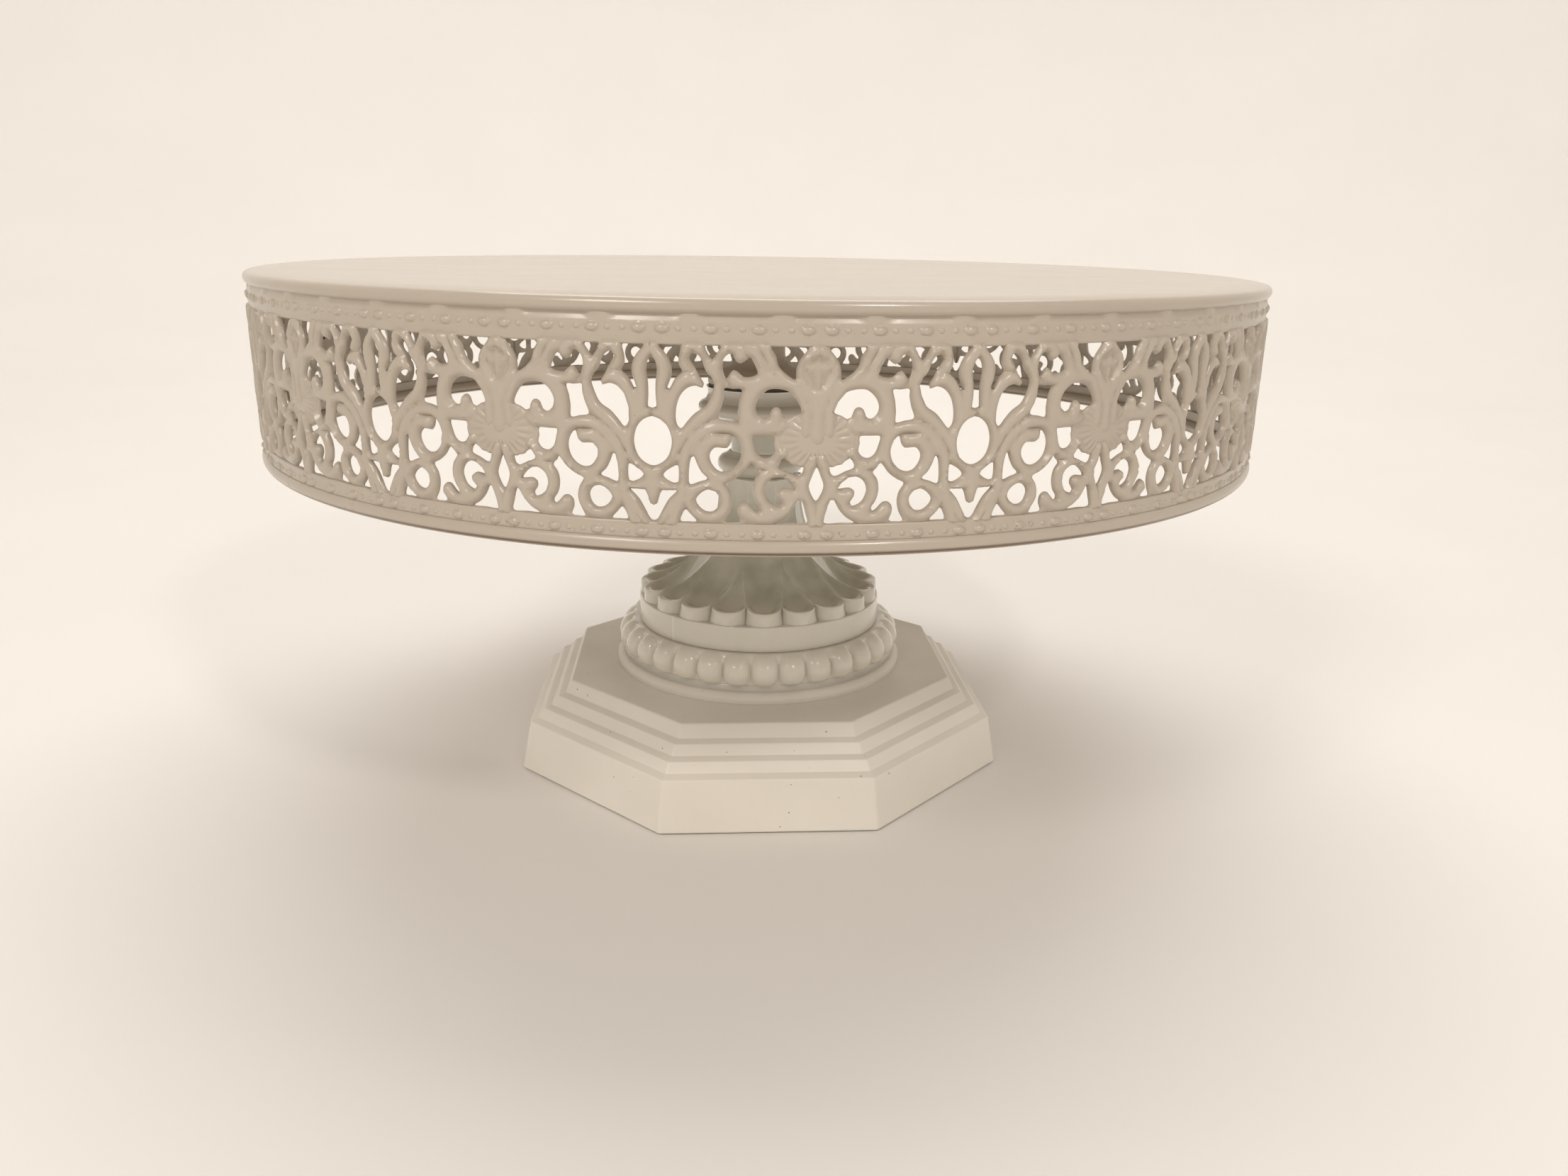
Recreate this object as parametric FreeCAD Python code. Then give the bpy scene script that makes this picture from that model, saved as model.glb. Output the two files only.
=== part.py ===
"""Pedestal cake stand: an openwork-skirted metal plate screwed onto a moulded octagonal pedestal.

Frame: origin at the middle of the resting face, +Z up, one flat of the octagon towards -Y. Millimetres.
"""
import FreeCAD, Part
import math
import os

Vec = FreeCAD.Vector
UP = Vec(0, 0, 1)
ORIGIN = Vec(0, 0, 0)
FRONT = -90.0                # direction of the front, in degrees about Z from +X

# ---- driving dimensions -------------------------------------------------------------------------
PLATE_R = 152.5              # outer radius of the bead rails and the rim
PLATE_TOP_Z = 159.0          # serving surface
PLATE_SHEET = 1.0
RIM_FLAT_R = 145.6           # where the flat serving surface turns into the rolled rim
RIM_ROLL_R, RIM_ROLL_Z = 150.5, 156.9
RIM_ROLL_RADIUS = 1.7
RIM_WIRE_RADIUS = 0.95

BAND_OUTER_R = 152.2         # outer face of the openwork strip
BAND_SHEET = 1.2
BAND_TOP_Z = 155.1
LACE_LOW_Z, LACE_HIGH_Z = 113.8, 149.7
BAND_REPEATS = 14
LACE_TURN = 1.8              # degrees from the foot's front flat to a bud, with the plate home
HALF_REPEAT = math.pi * PLATE_R / BAND_REPEATS     # arc from a bud axis to an oval axis
HEM_R, HEM_Z = 150.3, 107.7
HEM_RADIUS, HEM_WIRE_RADIUS = 2.1, 1.25

FOOT_SIDES = 8
FOOT_WALL = 3.0
FOOT_LIFT = 0.4              # the plinth's wall stands this far off the table, on the pads
# corner radius and height of every edge of the stepped foot, from the table up
FOOT_TIERS = [(85.1, FOOT_LIFT), (82.0, 16.3), (79.3, 17.4), (77.1, 20.3), (74.5, 21.0),
              (72.2, 23.9), (69.6, 24.6), (67.7, 28.8)]
FOOT_DISC_R, FOOT_TOP_Z = 49.0, 32.0

BEAD_COUNT = 32
RING_TOP_Z = 44.6
DRUM_R, DRUM_TOP_Z = 41.0, 51.6
LEAF_COUNT = 20
LEAF_TIP_R, LEAF_TIP_Z = 40.0, 56.3
FLARE_RADIUS = 30.0          # the leaves sweep up into the column on this radius
COLUMN_R, COLUMN_TOP_Z = 14.0, 92.8
KNOP_R, KNOP_TOP_Z = 14.3, 100.3
CAPITAL_R, CAPITAL_RIM_Z, CAPITAL_TOP_Z = 20.6, 115.0, 121.8

THREAD_RADIUS = 3.0          # M6, drawn as plain cylinders
THREAD_GAP = 0.05
ROD_HOLE_R = 3.3
NUT_FLATS = 10.0
TIE_ROD_TOP_Z, STUD_BOTTOM_Z = 109.0, 109.5
COUPLING_BOTTOM_Z, COUPLING_TOP_Z = 101.5, 117.5
TUBE_OUTER_R, TUBE_INNER_R, TUBE_TOP_Z = 6.0, 4.0, 99.5
FIT_GAP = 0.05

GASKET_R, GASKET_THICK = 17.2, 1.2
NECK_BOTTOM_Z = CAPITAL_TOP_Z + GASKET_THICK
NECK_R, NECK_SHEET = 7.8, 1.2
STIFFENER_R, STIFFENER_SHEET = 60.0, 1.2
STIFFENER_Z = PLATE_TOP_Z - PLATE_SHEET - STIFFENER_SHEET

COVER_Z, COVER_THICK = 1.6, 2.4
COVER_SCREW_R = 58.0
COVER_SCREWS = 4
PAD_RADIUS, PAD_CENTRE_R = 6.0, 71.0
BALLAST_BOTTOM_Z, BALLAST_TOP_Z = 10.0, 18.0
BALLAST_INNER_R, BALLAST_OUTER_R = 19.0, 48.0
BOSS_BOTTOM_Z, BOSS_R = 11.8, 12.0

# ---- helpers ------------------------------------------------------------------------------------


def outline_wire(place, start, steps):
    """A closed wire: each step is a point for a straight edge, or (through, end) for an arc."""
    edges = []
    here = start
    for step in list(steps) + [start]:
        if isinstance(step[0], tuple):
            through, end = step
            edges.append(Part.Arc(place(here), place(through), place(end)).toShape())
        else:
            end = step
            edges.append(Part.LineSegment(place(here), place(end)).toShape())
        here = end
    return Part.Wire(edges)


def turned(start, *steps, angle=360.0):
    """A solid of revolution about Z from a closed (radius, height) outline."""
    wire = outline_wire(lambda p: Vec(p[0], 0, p[1]), start, steps)
    return Part.Face(wire).revolve(ORIGIN, UP, angle)


def ring(inner, outer, low, high):
    """A plain washer-shaped ring."""
    return turned((inner, low), (outer, low), (outer, high), (inner, high))


def rod(radius, low, high, x=0.0, y=0.0):
    return Part.makeCylinder(radius, high - low, Vec(x, y, low), UP)


def wire_torus(centre_r, centre_z, radius):
    return Part.makeTorus(centre_r, radius, Vec(0, 0, centre_z), UP)


def polygon_at(corner_radius, height, sides, phase=0.5):
    """A regular polygon wire about Z; phase 0.5 puts a flat towards +X, -X, +Y and -Y."""
    corners = []
    for k in range(sides + 1):
        a = 2 * math.pi * (k + phase) / sides
        corners.append(Vec(corner_radius * math.cos(a), corner_radius * math.sin(a), height))
    return Part.makePolygon(corners)


def hex_prism(flats, low, high):
    face = Part.Face(polygon_at(flats / math.sqrt(3), low, 6, phase=0.0))
    return face.extrude(UP * (high - low))


def turn_copy(shape, degrees):
    copy = shape.copy()
    copy.rotate(ORIGIN, UP, degrees)
    return copy


def around(shape, count, start_degrees=0.0):
    """Copies of a shape spread evenly about Z."""
    return [turn_copy(shape, start_degrees + 360.0 * k / count) for k in range(count)]


def octagon_stack(tiers):
    """A solid through octagons of the given (corner radius, height)."""
    return Part.makeLoft([polygon_at(r, z, FOOT_SIDES) for r, z in tiers], True, True)


# ---- plate --------------------------------------------------------------------------------------


def plate_top():
    """Pressed steel disc whose edge rounds over and rolls round the rim wire."""
    under = PLATE_TOP_Z - PLATE_SHEET
    disc = turned((0, under), (RIM_FLAT_R, under), (150.3, 157.2), (151.7, 158.1),
                  ((149.0, 158.72), (RIM_FLAT_R, PLATE_TOP_Z)), (0, PLATE_TOP_Z))
    roll = wire_torus(RIM_ROLL_R, RIM_ROLL_Z, RIM_ROLL_RADIUS)
    bore = wire_torus(RIM_ROLL_R, RIM_ROLL_Z, RIM_WIRE_RADIUS + FIT_GAP)
    return disc.fuse(roll).cut(bore)


def rim_wire():
    return wire_torus(RIM_ROLL_R, RIM_ROLL_Z, RIM_WIRE_RADIUS)


# Openings of half a repeat of the lace, as corners (arc from the bud axis, height). The other half
# mirrors them, so those that lie on an axis are drawn whole and belong to both halves.
BUD_AXIS_OPENINGS = [
    [(0, 125.0), (1.5, 121.4), (0, 118.6), (-1.5, 121.4)],                  # diamond under the shell
]
SIDE_OPENINGS = [
    [(1.7, 114.4), (7.2, 114.4), (4.5, 116.8), (2.7, 118.6)],               # beside the foot
    [(4.5, 120.7), (7.8, 122.8), (10.2, 120.9), (9.0, 118.0), (7.6, 117.6), (8.1, 119.8)],
    [(8.9, 131.6), (12.9, 131.6), (12.0, 127.6), (10.5, 126.9), (8.5, 128.6)],
    [(3.1, 136.5), (6.8, 140.8), (10.8, 140.4), (12.5, 137.4), (11.2, 135.4), (8.2, 137.4),
     (5.5, 135.5)],                                                         # upper scroll
    [(15.8, 140.3), (19.2, 140.6), (20.4, 134.8), (16.4, 134.4)],
    [(2.2, 149.0), (9.6, 149.0), (8.0, 145.8), (5.0, 143.6), (4.6, 145.6)],
    [(12.7, 144.2), (14.2, 146.9), (18.0, 147.5), (19.3, 144.8), (16.6, 144.2)],
    [(21.6, 141.0), (22.6, 138.2), (28.3, 133.0), (28.8, 136.6), (27.0, 140.4)],
    [(28.6, 149.0), (32.4, 149.0), (30.4, 145.4), (30.4, 142.4), (28.6, 144.8)],
    [(17.0, 130.9), (15.6, 128.2), (16.7, 125.4), (19.0, 124.1), (21.8, 126.8), (20.8, 128.8)],
    [(25.2, 126.6), (22.9, 122.5), (26.1, 121.6)],
    [(29.2, 119.6), (32.0, 119.2), (33.3, 116.9), (32.9, 114.5), (30.8, 117.7)],
    [(13.2, 122.6), (13.8, 125.2), (18.2, 121.7), (17.2, 119.0), (13.4, 119.6)],
    [(20.3, 118.0), (21.2, 119.6), (23.4, 119.6), (24.3, 118.0), (23.4, 116.4), (21.2, 116.4)],
]
OVAL_AXIS_OPENINGS = [
    [(-0.8, 137.0), (0.8, 137.0), (0.9, 143.6), (0, 146.4), (-0.9, 143.6)],  # slot of the flame
    [(-3.4, 126.9), (0, 124.9), (3.4, 126.9), (3.8, 130.4), (2.4, 133.6), (0, 134.5),
     (-2.4, 133.6), (-3.8, 130.4)],                                         # oval
]


def opening_cutter(corners):
    """A prism along the radius, at the middle of one opening."""
    middle = sum(u for u, z in corners) / len(corners)
    reach = BAND_OUTER_R + 3.0
    depth = BAND_SHEET + 6.0
    points = [Vec(reach, u - middle, z) for u, z in corners]
    face = Part.Face(Part.makePolygon(points + points[:1]))
    prism = face.extrude(Vec(-depth, 0, 0))
    return turn_copy(prism, math.degrees(middle / PLATE_R))


def mirrored(corners):
    return [(-u, z) for u, z in reversed(corners)]


def lace_repeat():
    """One repeat of the openwork wall, from oval axis to oval axis, with a bud in the middle."""
    sweep = 360.0 / BAND_REPEATS
    inner = BAND_OUTER_R - BAND_SHEET
    wall = turned((inner, LACE_LOW_Z), (BAND_OUTER_R, LACE_LOW_Z), (BAND_OUTER_R, LACE_HIGH_Z),
                  (inner, LACE_HIGH_Z), angle=sweep)
    wall.rotate(ORIGIN, UP, -sweep / 2)
    cutters = [opening_cutter(c) for c in BUD_AXIS_OPENINGS]
    for corners in SIDE_OPENINGS:
        cutters.append(opening_cutter(corners))
        cutters.append(opening_cutter(mirrored(corners)))
    for corners in OVAL_AXIS_OPENINGS:
        cutters.append(turn_copy(opening_cutter(corners), sweep / 2))
        cutters.append(turn_copy(opening_cutter(corners), -sweep / 2))
    return wall.cut(cutters)


def band_ring(low, high, rail_low, rail_high):
    """A plain stretch of the strip with a rounded rail standing proud of it."""
    inner = BAND_OUTER_R - BAND_SHEET
    middle = (rail_low + rail_high) / 2
    return turned((inner, low), (BAND_OUTER_R, low), (BAND_OUTER_R, rail_low),
                  ((PLATE_R, middle), (BAND_OUTER_R, rail_high)), (BAND_OUTER_R, high), (inner, high))


def lace_band():
    """Openwork strip rolled at the bottom round the hem wire and turned in under the rim."""
    hem = wire_torus(HEM_R, HEM_Z, HEM_RADIUS)
    bore = wire_torus(HEM_R, HEM_Z, HEM_WIRE_RADIUS + FIT_GAP)
    low_ring = band_ring(HEM_Z + 1.0, LACE_LOW_Z, HEM_Z + HEM_RADIUS, LACE_LOW_Z - 0.2)
    high_ring = band_ring(LACE_HIGH_Z, BAND_TOP_Z, LACE_HIGH_Z + 0.2, BAND_TOP_Z - 0.4)
    turned_in = ring(147.0, BAND_OUTER_R - BAND_SHEET, BAND_TOP_Z - 0.8, BAND_TOP_Z)
    repeats = around(lace_repeat(), BAND_REPEATS, FRONT + LACE_TURN)
    band = repeats[0].fuse(repeats[1:] + [low_ring, high_ring, turned_in, hem])
    return band.removeSplitter().cut(bore)


def hem_wire():
    return wire_torus(HEM_R, HEM_Z, HEM_WIRE_RADIUS)


def band_seam_clips():
    """Two short straps behind the rails that join the ends of the strip, at the back."""
    outer = BAND_OUTER_R - BAND_SHEET
    sweep = 5.0
    clips = []
    for low, high in ((110.6, 113.4), (150.2, 153.4)):
        clip = turned((outer - 0.8, low), (outer, low), (outer, high), (outer - 0.8, high), angle=sweep)
        clips.append(turn_copy(clip, 90.0 - sweep / 2))
    return Part.makeCompound(clips)


def plate_stiffener():
    """Pressed disc under the middle of the plate, with one ring-shaped swage."""
    low, high = STIFFENER_Z, STIFFENER_Z + STIFFENER_SHEET
    drop = 3.0
    return turned((0, low), (34, low), (37, low - drop), (43, low - drop), (46, low), (STIFFENER_R, low),
                  (STIFFENER_R, high), (45.5, high), (42.5, high - drop), (37.5, high - drop),
                  (34.5, high), (0, high))


def plate_stud():
    """Threaded stud with a round weld flange against the stiffener."""
    flange = rod(6.0, STIFFENER_Z - 1.8, STIFFENER_Z)
    return flange.fuse(rod(THREAD_RADIUS, STUD_BOTTOM_Z, STIFFENER_Z - 1.8))


def plate_neck():
    """Spun trumpet that stands the plate off the pedestal: tube, flared brim and floor."""
    top = STIFFENER_Z
    brim_r, brim_z = 17.4, NECK_BOTTOM_Z
    t = NECK_SHEET
    inner_r = NECK_R - t
    return turned((THREAD_RADIUS + 0.25, brim_z), (brim_r, brim_z), (brim_r, brim_z + 1.5),
                  (12.2, 127.6), ((NECK_R + 1.5, 129.1), (NECK_R, 132.6)), (NECK_R, top - t - 1.0),
                  (NECK_R + 1.0, top - t), (15.0, top - t), (15.0, top), (inner_r, top),
                  (inner_r, 132.2), ((NECK_R + 0.5, 128.0), (11.7, 126.4)), (15.0, brim_z + t),
                  (THREAD_RADIUS + 0.25, brim_z + t))


def neck_washer():
    return ring(THREAD_RADIUS + 0.25, 8.0, NECK_BOTTOM_Z - 1.2, NECK_BOTTOM_Z)


def neck_nut():
    """Thin nut that clamps the neck against the plate."""
    high = NECK_BOTTOM_Z - 1.2
    low = high - 3.2
    return hex_prism(NUT_FLATS, low, high).cut(rod(THREAD_RADIUS + THREAD_GAP, low, high))


def neck_gasket():
    return ring(9.2, GASKET_R, CAPITAL_TOP_Z, NECK_BOTTOM_Z)


# ---- pedestal -----------------------------------------------------------------------------------


def capital():
    """Turned capital that holds the coupling nut and carries the plate's neck."""
    body = turned((0, KNOP_TOP_Z), (9.8, KNOP_TOP_Z), ((11.3, 107.5), (17.6, 112.6)),
                  (19.8, 113.4), ((CAPITAL_R, CAPITAL_RIM_Z), (19.8, 116.6)), (18.3, 117.4),
                  ((17.5, 119.6), (17.9, CAPITAL_TOP_Z)), (0, CAPITAL_TOP_Z))
    recess = rod(8.8, COUPLING_TOP_Z + 0.5, CAPITAL_TOP_Z)
    pocket = hex_prism(NUT_FLATS + 2 * FIT_GAP, COUPLING_BOTTOM_Z, COUPLING_TOP_Z + 0.5)
    through = rod(ROD_HOLE_R, KNOP_TOP_Z, COUPLING_BOTTOM_Z)
    return body.cut([recess, pocket, through])


def knop_ring():
    """Ring between column and capital."""
    low, high = COLUMN_TOP_Z, KNOP_TOP_Z
    middle = (low + high) / 2
    bore = TUBE_OUTER_R + FIT_GAP
    body = turned((0, low), (11.8, low), (12.4, low + 0.9), ((KNOP_R, middle), (12.0, high - 1.2)),
                  (10.4, high), (0, high))
    return body.cut([rod(bore, low, TUBE_TOP_Z), rod(ROD_HOLE_R, TUBE_TOP_Z, high)])


def flute_cutter():
    """A horn that hollows one leaf from its tip and narrows up the column."""
    centre_r, centre_z = COLUMN_R + FLARE_RADIUS, LEAF_TIP_Z + FLARE_RADIUS - 0.3
    sections = []
    for angle in (-98.0, -112.0, -130.0, -150.0, -170.0, -180.0):
        a = math.radians(angle)
        r = centre_r + FLARE_RADIUS * math.cos(a)
        z = centre_z + FLARE_RADIUS * math.sin(a)
        width = 0.86 * math.pi * r / LEAF_COUNT
        lift = 0.55 * width
        centre = Vec(r - lift * math.cos(a), 0, z - lift * math.sin(a))
        along = Vec(-math.sin(a), 0, math.cos(a))
        sections.append(Part.Wire(Part.Circle(centre, along, width).toShape()))
    top_width = 0.86 * math.pi * COLUMN_R / LEAF_COUNT
    top = Vec(COLUMN_R + 0.55 * top_width, 0, COLUMN_TOP_Z + 1.0)
    sections.append(Part.Wire(Part.Circle(top, Vec(0, 0, -1), top_width).toShape()))
    return Part.makeLoft(sections, True, False)


def leaf_column():
    """Drum, ring of leaves and fluted column in one hollow moulding."""
    centre_r, centre_z = COLUMN_R + FLARE_RADIUS, LEAF_TIP_Z + FLARE_RADIUS - 0.3
    half_way = math.radians(-140.0)
    through = (centre_r + FLARE_RADIUS * math.cos(half_way), centre_z + FLARE_RADIUS * math.sin(half_way))
    body = turned((0, RING_TOP_Z), (DRUM_R, RING_TOP_Z), (DRUM_R, DRUM_TOP_Z),
                  (LEAF_TIP_R + 0.7, DRUM_TOP_Z + 0.4), ((LEAF_TIP_R + 0.9, 54.4), (LEAF_TIP_R, LEAF_TIP_Z)),
                  (through, (COLUMN_R, centre_z)), (COLUMN_R - 0.8, COLUMN_TOP_Z), (0, COLUMN_TOP_Z))
    notch_r = 2.3
    between_tips = rod(notch_r, DRUM_TOP_Z, LEAF_TIP_Z + 8.0, x=LEAF_TIP_R + 2.2)
    half_leaf = 180.0 / LEAF_COUNT
    notches = around(between_tips, LEAF_COUNT, FRONT + half_leaf)
    flutes = around(flute_cutter(), LEAF_COUNT, FRONT)
    hollow = turned((0, RING_TOP_Z), (DRUM_R - 3.0, RING_TOP_Z), (DRUM_R - 3.0, 50.5), (21.0, 57.0),
                    (10.0, 70.0), (10.0, 73.0), (0, 73.0))
    bore = rod(TUBE_OUTER_R + FIT_GAP, 70.0, COLUMN_TOP_Z)
    return body.cut(notches + flutes + [hollow, bore])


def gadroon_bead():
    """One egg-shaped bead, leaning in towards the drum: two balls with a cone between them."""
    low_radius, high_radius = 4.2, 3.7
    low, high = Vec(44.3, 0, 37.1), Vec(42.4, 0, 41.4)
    axis = high - low
    length = axis.Length
    lean = math.asin((low_radius - high_radius) / length)

    def on_ball(radius, height, angle):
        return (radius * math.cos(angle), height + radius * math.sin(angle))

    egg = turned((0, -low_radius), (on_ball(low_radius, 0, -0.6), on_ball(low_radius, 0, lean)),
                 on_ball(high_radius, length, lean),
                 (on_ball(high_radius, length, 0.9), (0, length + high_radius)))
    egg.rotate(ORIGIN, Vec(0, 1, 0), math.degrees(math.atan2(axis.x, axis.z)))
    egg.translate(low)
    return egg


def gadroon_ring():
    """Beaded ring between the foot and the drum, with a web round the core tube."""
    beads = around(gadroon_bead(), BEAD_COUNT, FRONT)
    core = turned((36.0, FOOT_TOP_Z), (44.2, FOOT_TOP_Z), (45.2, 34.0), (44.6, 38.0), (42.6, 42.0),
                  (41.6, RING_TOP_Z), (36.0, RING_TOP_Z))
    web = ring(TUBE_OUTER_R + FIT_GAP, 37.0, FOOT_TOP_Z, FOOT_TOP_Z + 3.0)
    collar = ring(TUBE_OUTER_R + FIT_GAP, 10.0, FOOT_TOP_Z, FOOT_TOP_Z + 9.0)
    below = rod(60.0, FOOT_TOP_Z - 5.0, FOOT_TOP_Z)
    above = rod(60.0, RING_TOP_Z, RING_TOP_Z + 5.0)
    return core.fuse(beads + [web, collar]).cut([below, above])


def foot_hollow():
    """The space under the stepped foot, one wall thickness inside its tiers."""
    tiers = [(81.9, FOOT_LIFT), (79.3, 13.6), (73.9, 18.2), (68.6, 22.0), (64.0, 25.4)]
    return octagon_stack(tiers)


def octagon_foot():
    """Hollow stepped foot with a round table on top, ribs, a centre boss and screw bosses."""
    edge = 1.0
    disc = turned((0, 28.0), (FOOT_DISC_R, 28.0), (FOOT_DISC_R, FOOT_TOP_Z - edge),
                  ((FOOT_DISC_R - 0.3, FOOT_TOP_Z - 0.3), (FOOT_DISC_R - edge, FOOT_TOP_Z)),
                  (0, FOOT_TOP_Z))
    shell = octagon_stack(FOOT_TIERS).fuse(disc).cut(foot_hollow())
    roof = 26.0
    centre_boss = rod(BOSS_R, BOSS_BOTTOM_Z, roof)
    rib = Part.makeBox(66.0, 2.0, roof - BALLAST_TOP_Z, Vec(0, -1.0, BALLAST_TOP_Z))
    ribs = around(rib, FOOT_SIDES)
    cover_top = COVER_Z + COVER_THICK
    screw_boss = rod(4.5, cover_top, roof, x=COVER_SCREW_R)
    bosses = around(screw_boss, COVER_SCREWS, 45.0)
    inside = foot_hollow().fuse(rod(62.0, 25.0, roof))
    fittings = centre_boss.fuse(ribs + bosses).common(inside)
    pilot = rod(1.25, cover_top, cover_top + 12.0, x=COVER_SCREW_R)
    pilots = around(pilot, COVER_SCREWS, 45.0)
    centre_hole = rod(ROD_HOLE_R, BOSS_BOTTOM_Z, FOOT_TOP_Z)
    return shell.fuse(fittings).removeSplitter().cut(pilots + [centre_hole])


def core_tube():
    """Steel tube that takes the clamping load between foot and capital."""
    return ring(TUBE_INNER_R, TUBE_OUTER_R, FOOT_TOP_Z, TUBE_TOP_Z)


def tie_rod():
    return rod(THREAD_RADIUS, 3.4, TIE_ROD_TOP_Z)


def coupling_nut():
    """Long nut: the tie rod screws in from below and the plate's stud from above."""
    body = hex_prism(NUT_FLATS, COUPLING_BOTTOM_Z, COUPLING_TOP_Z)
    return body.cut(rod(THREAD_RADIUS + THREAD_GAP, COUPLING_BOTTOM_Z, COUPLING_TOP_Z))


def foot_washer():
    return ring(THREAD_RADIUS + 0.2, 9.0, BOSS_BOTTOM_Z - 1.4, BOSS_BOTTOM_Z)


def foot_lock_washer():
    """Split spring washer, drawn flat under load, with its gap."""
    high = BOSS_BOTTOM_Z - 1.4
    low = high - 1.5
    gap = Part.makeBox(8.0, 0.8, 2.5, Vec(0, -0.4, low - 0.5))
    return ring(THREAD_RADIUS + 0.1, 5.4, low, high).cut(gap)


def foot_nut():
    high = BOSS_BOTTOM_Z - 2.9
    low = high - 5.0
    return hex_prism(NUT_FLATS, low, high).cut(rod(THREAD_RADIUS + THREAD_GAP, low, high))


def ballast_ring():
    """Cast-iron weight pressed up against the ribs."""
    edge = 1.0
    low, high = BALLAST_BOTTOM_Z, BALLAST_TOP_Z
    inner, outer = BALLAST_INNER_R, BALLAST_OUTER_R
    return turned((inner, low), (outer - edge, low), (outer, low + edge), (outer, high), (inner, high))


def base_cover():
    """Flat cover under the foot, with a raised ring that holds the ballast up."""
    low, high = COVER_Z, COVER_Z + COVER_THICK
    sheet = octagon_stack([(80.9, low), (80.4, high)])
    holder = ring(30.0, 33.0, high, BALLAST_BOTTOM_Z)
    access = rod(14.0, low, high)
    hole = rod(1.7, low, high, x=COVER_SCREW_R)
    sink = Part.makeCone(3.0, 1.7, 1.4, Vec(COVER_SCREW_R, 0, low), UP)
    holes = around(hole.fuse(sink), COVER_SCREWS, 45.0)
    return sheet.fuse(holder).cut(holes + [access])


def cover_screws():
    """Four countersunk self-tapping screws."""
    low = COVER_Z + 0.05
    head = Part.makeCone(2.9, 1.25, 1.5, Vec(COVER_SCREW_R, 0, low), UP)
    shank = rod(1.2, low, low + 11.0, x=COVER_SCREW_R)
    slot = Part.makeBox(3.6, 0.6, 0.7, Vec(COVER_SCREW_R - 1.8, -0.3, low - 0.1))
    cross = Part.makeBox(0.6, 3.6, 0.7, Vec(COVER_SCREW_R - 0.3, -1.8, low - 0.1))
    screw = head.fuse(shank).cut([slot, cross])
    return Part.makeCompound(around(screw, COVER_SCREWS, 45.0))


def foot_pads():
    """Eight soft pads stuck under the cover, one behind each corner of the foot."""
    pad = turned((0, 0), (PAD_RADIUS - 0.4, 0), (PAD_RADIUS, 0.4), (PAD_RADIUS, COVER_Z), (0, COVER_Z))
    pad.translate(Vec(PAD_CENTRE_R, 0, 0))
    return Part.makeCompound(around(pad, FOOT_SIDES, 180.0 / FOOT_SIDES))


# ---- every piece, one file each -----------------------------------------------------------------

PIECES = [
    plate_top, rim_wire, lace_band, hem_wire, band_seam_clips, plate_stiffener, plate_stud, plate_neck,
    neck_washer, neck_nut, neck_gasket, capital, knop_ring, leaf_column, gadroon_ring, octagon_foot,
    core_tube, tie_rod, coupling_nut, foot_washer, foot_lock_washer, foot_nut, ballast_ring, base_cover,
    cover_screws, foot_pads,
]

os.makedirs("parts", exist_ok=True)
for make in PIECES:
    shape = make()
    shape.exportStep("parts/" + make.__name__ + ".step")
    print(make.__name__, "solids", len(shape.Solids), "valid", shape.isValid(), "volume", round(shape.Volume))
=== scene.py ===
"""Looks of the pedestal cake stand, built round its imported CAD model. Lengths are in millimetres."""
import math

import bmesh
import bpy
import numpy as np
from mathutils import Matrix, Vector
from mathutils.geometry import delaunay_2d_cdt


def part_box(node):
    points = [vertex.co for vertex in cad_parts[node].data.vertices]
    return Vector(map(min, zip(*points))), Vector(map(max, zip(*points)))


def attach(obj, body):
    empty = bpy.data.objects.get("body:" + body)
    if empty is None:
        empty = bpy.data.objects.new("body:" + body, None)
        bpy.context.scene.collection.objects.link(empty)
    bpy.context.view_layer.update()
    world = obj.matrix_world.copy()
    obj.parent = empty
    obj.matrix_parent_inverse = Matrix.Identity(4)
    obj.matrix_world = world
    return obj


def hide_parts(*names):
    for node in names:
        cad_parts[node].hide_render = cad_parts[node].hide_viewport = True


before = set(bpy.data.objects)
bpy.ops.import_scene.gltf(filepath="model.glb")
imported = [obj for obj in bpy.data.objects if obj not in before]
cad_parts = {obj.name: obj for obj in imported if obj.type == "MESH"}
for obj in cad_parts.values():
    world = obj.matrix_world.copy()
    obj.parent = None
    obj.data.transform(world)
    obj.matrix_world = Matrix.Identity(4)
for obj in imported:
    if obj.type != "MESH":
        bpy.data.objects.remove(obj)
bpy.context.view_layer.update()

MM = 0.001


def node_size(node):
    """Outer radius, lowest and highest level of a round CAD node."""
    low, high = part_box(node)
    return high.x / MM, low.z / MM, high.z / MM


_, _, PLATE_TOP = node_size("plate_top")
_, RING_LOW, _ = node_size("gadroon_ring")
DRUM_R, DRUM_LOW, COLUMN_TOP = node_size("leaf_column")
_, _, FOOT_TOP = node_size("octagon_foot")

# The skirt's pattern is drawn flat: arc from the bud's axis, and height over the table.
REPEATS = 14
FACE_R = 152.5  # arcs are measured on this radius
HALF = math.pi * FACE_R / REPEATS
LACE_TURN = math.radians(1.82)
SHEET_R = 150.5
FACE_LIFT, RELIEF_HEIGHT = 0.2, 1.5
LACE_LOW, LACE_HIGH = 112.9, 149.25
TUCK = 0.9  # how far the openwork runs in behind the rails


# -------- mesh tools

def new_object(name, data):
    """An object in the scene that shows a mesh, a light or a camera."""
    made = bpy.data.objects.new(name, data)
    bpy.context.scene.collection.objects.link(made)
    return made


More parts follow.
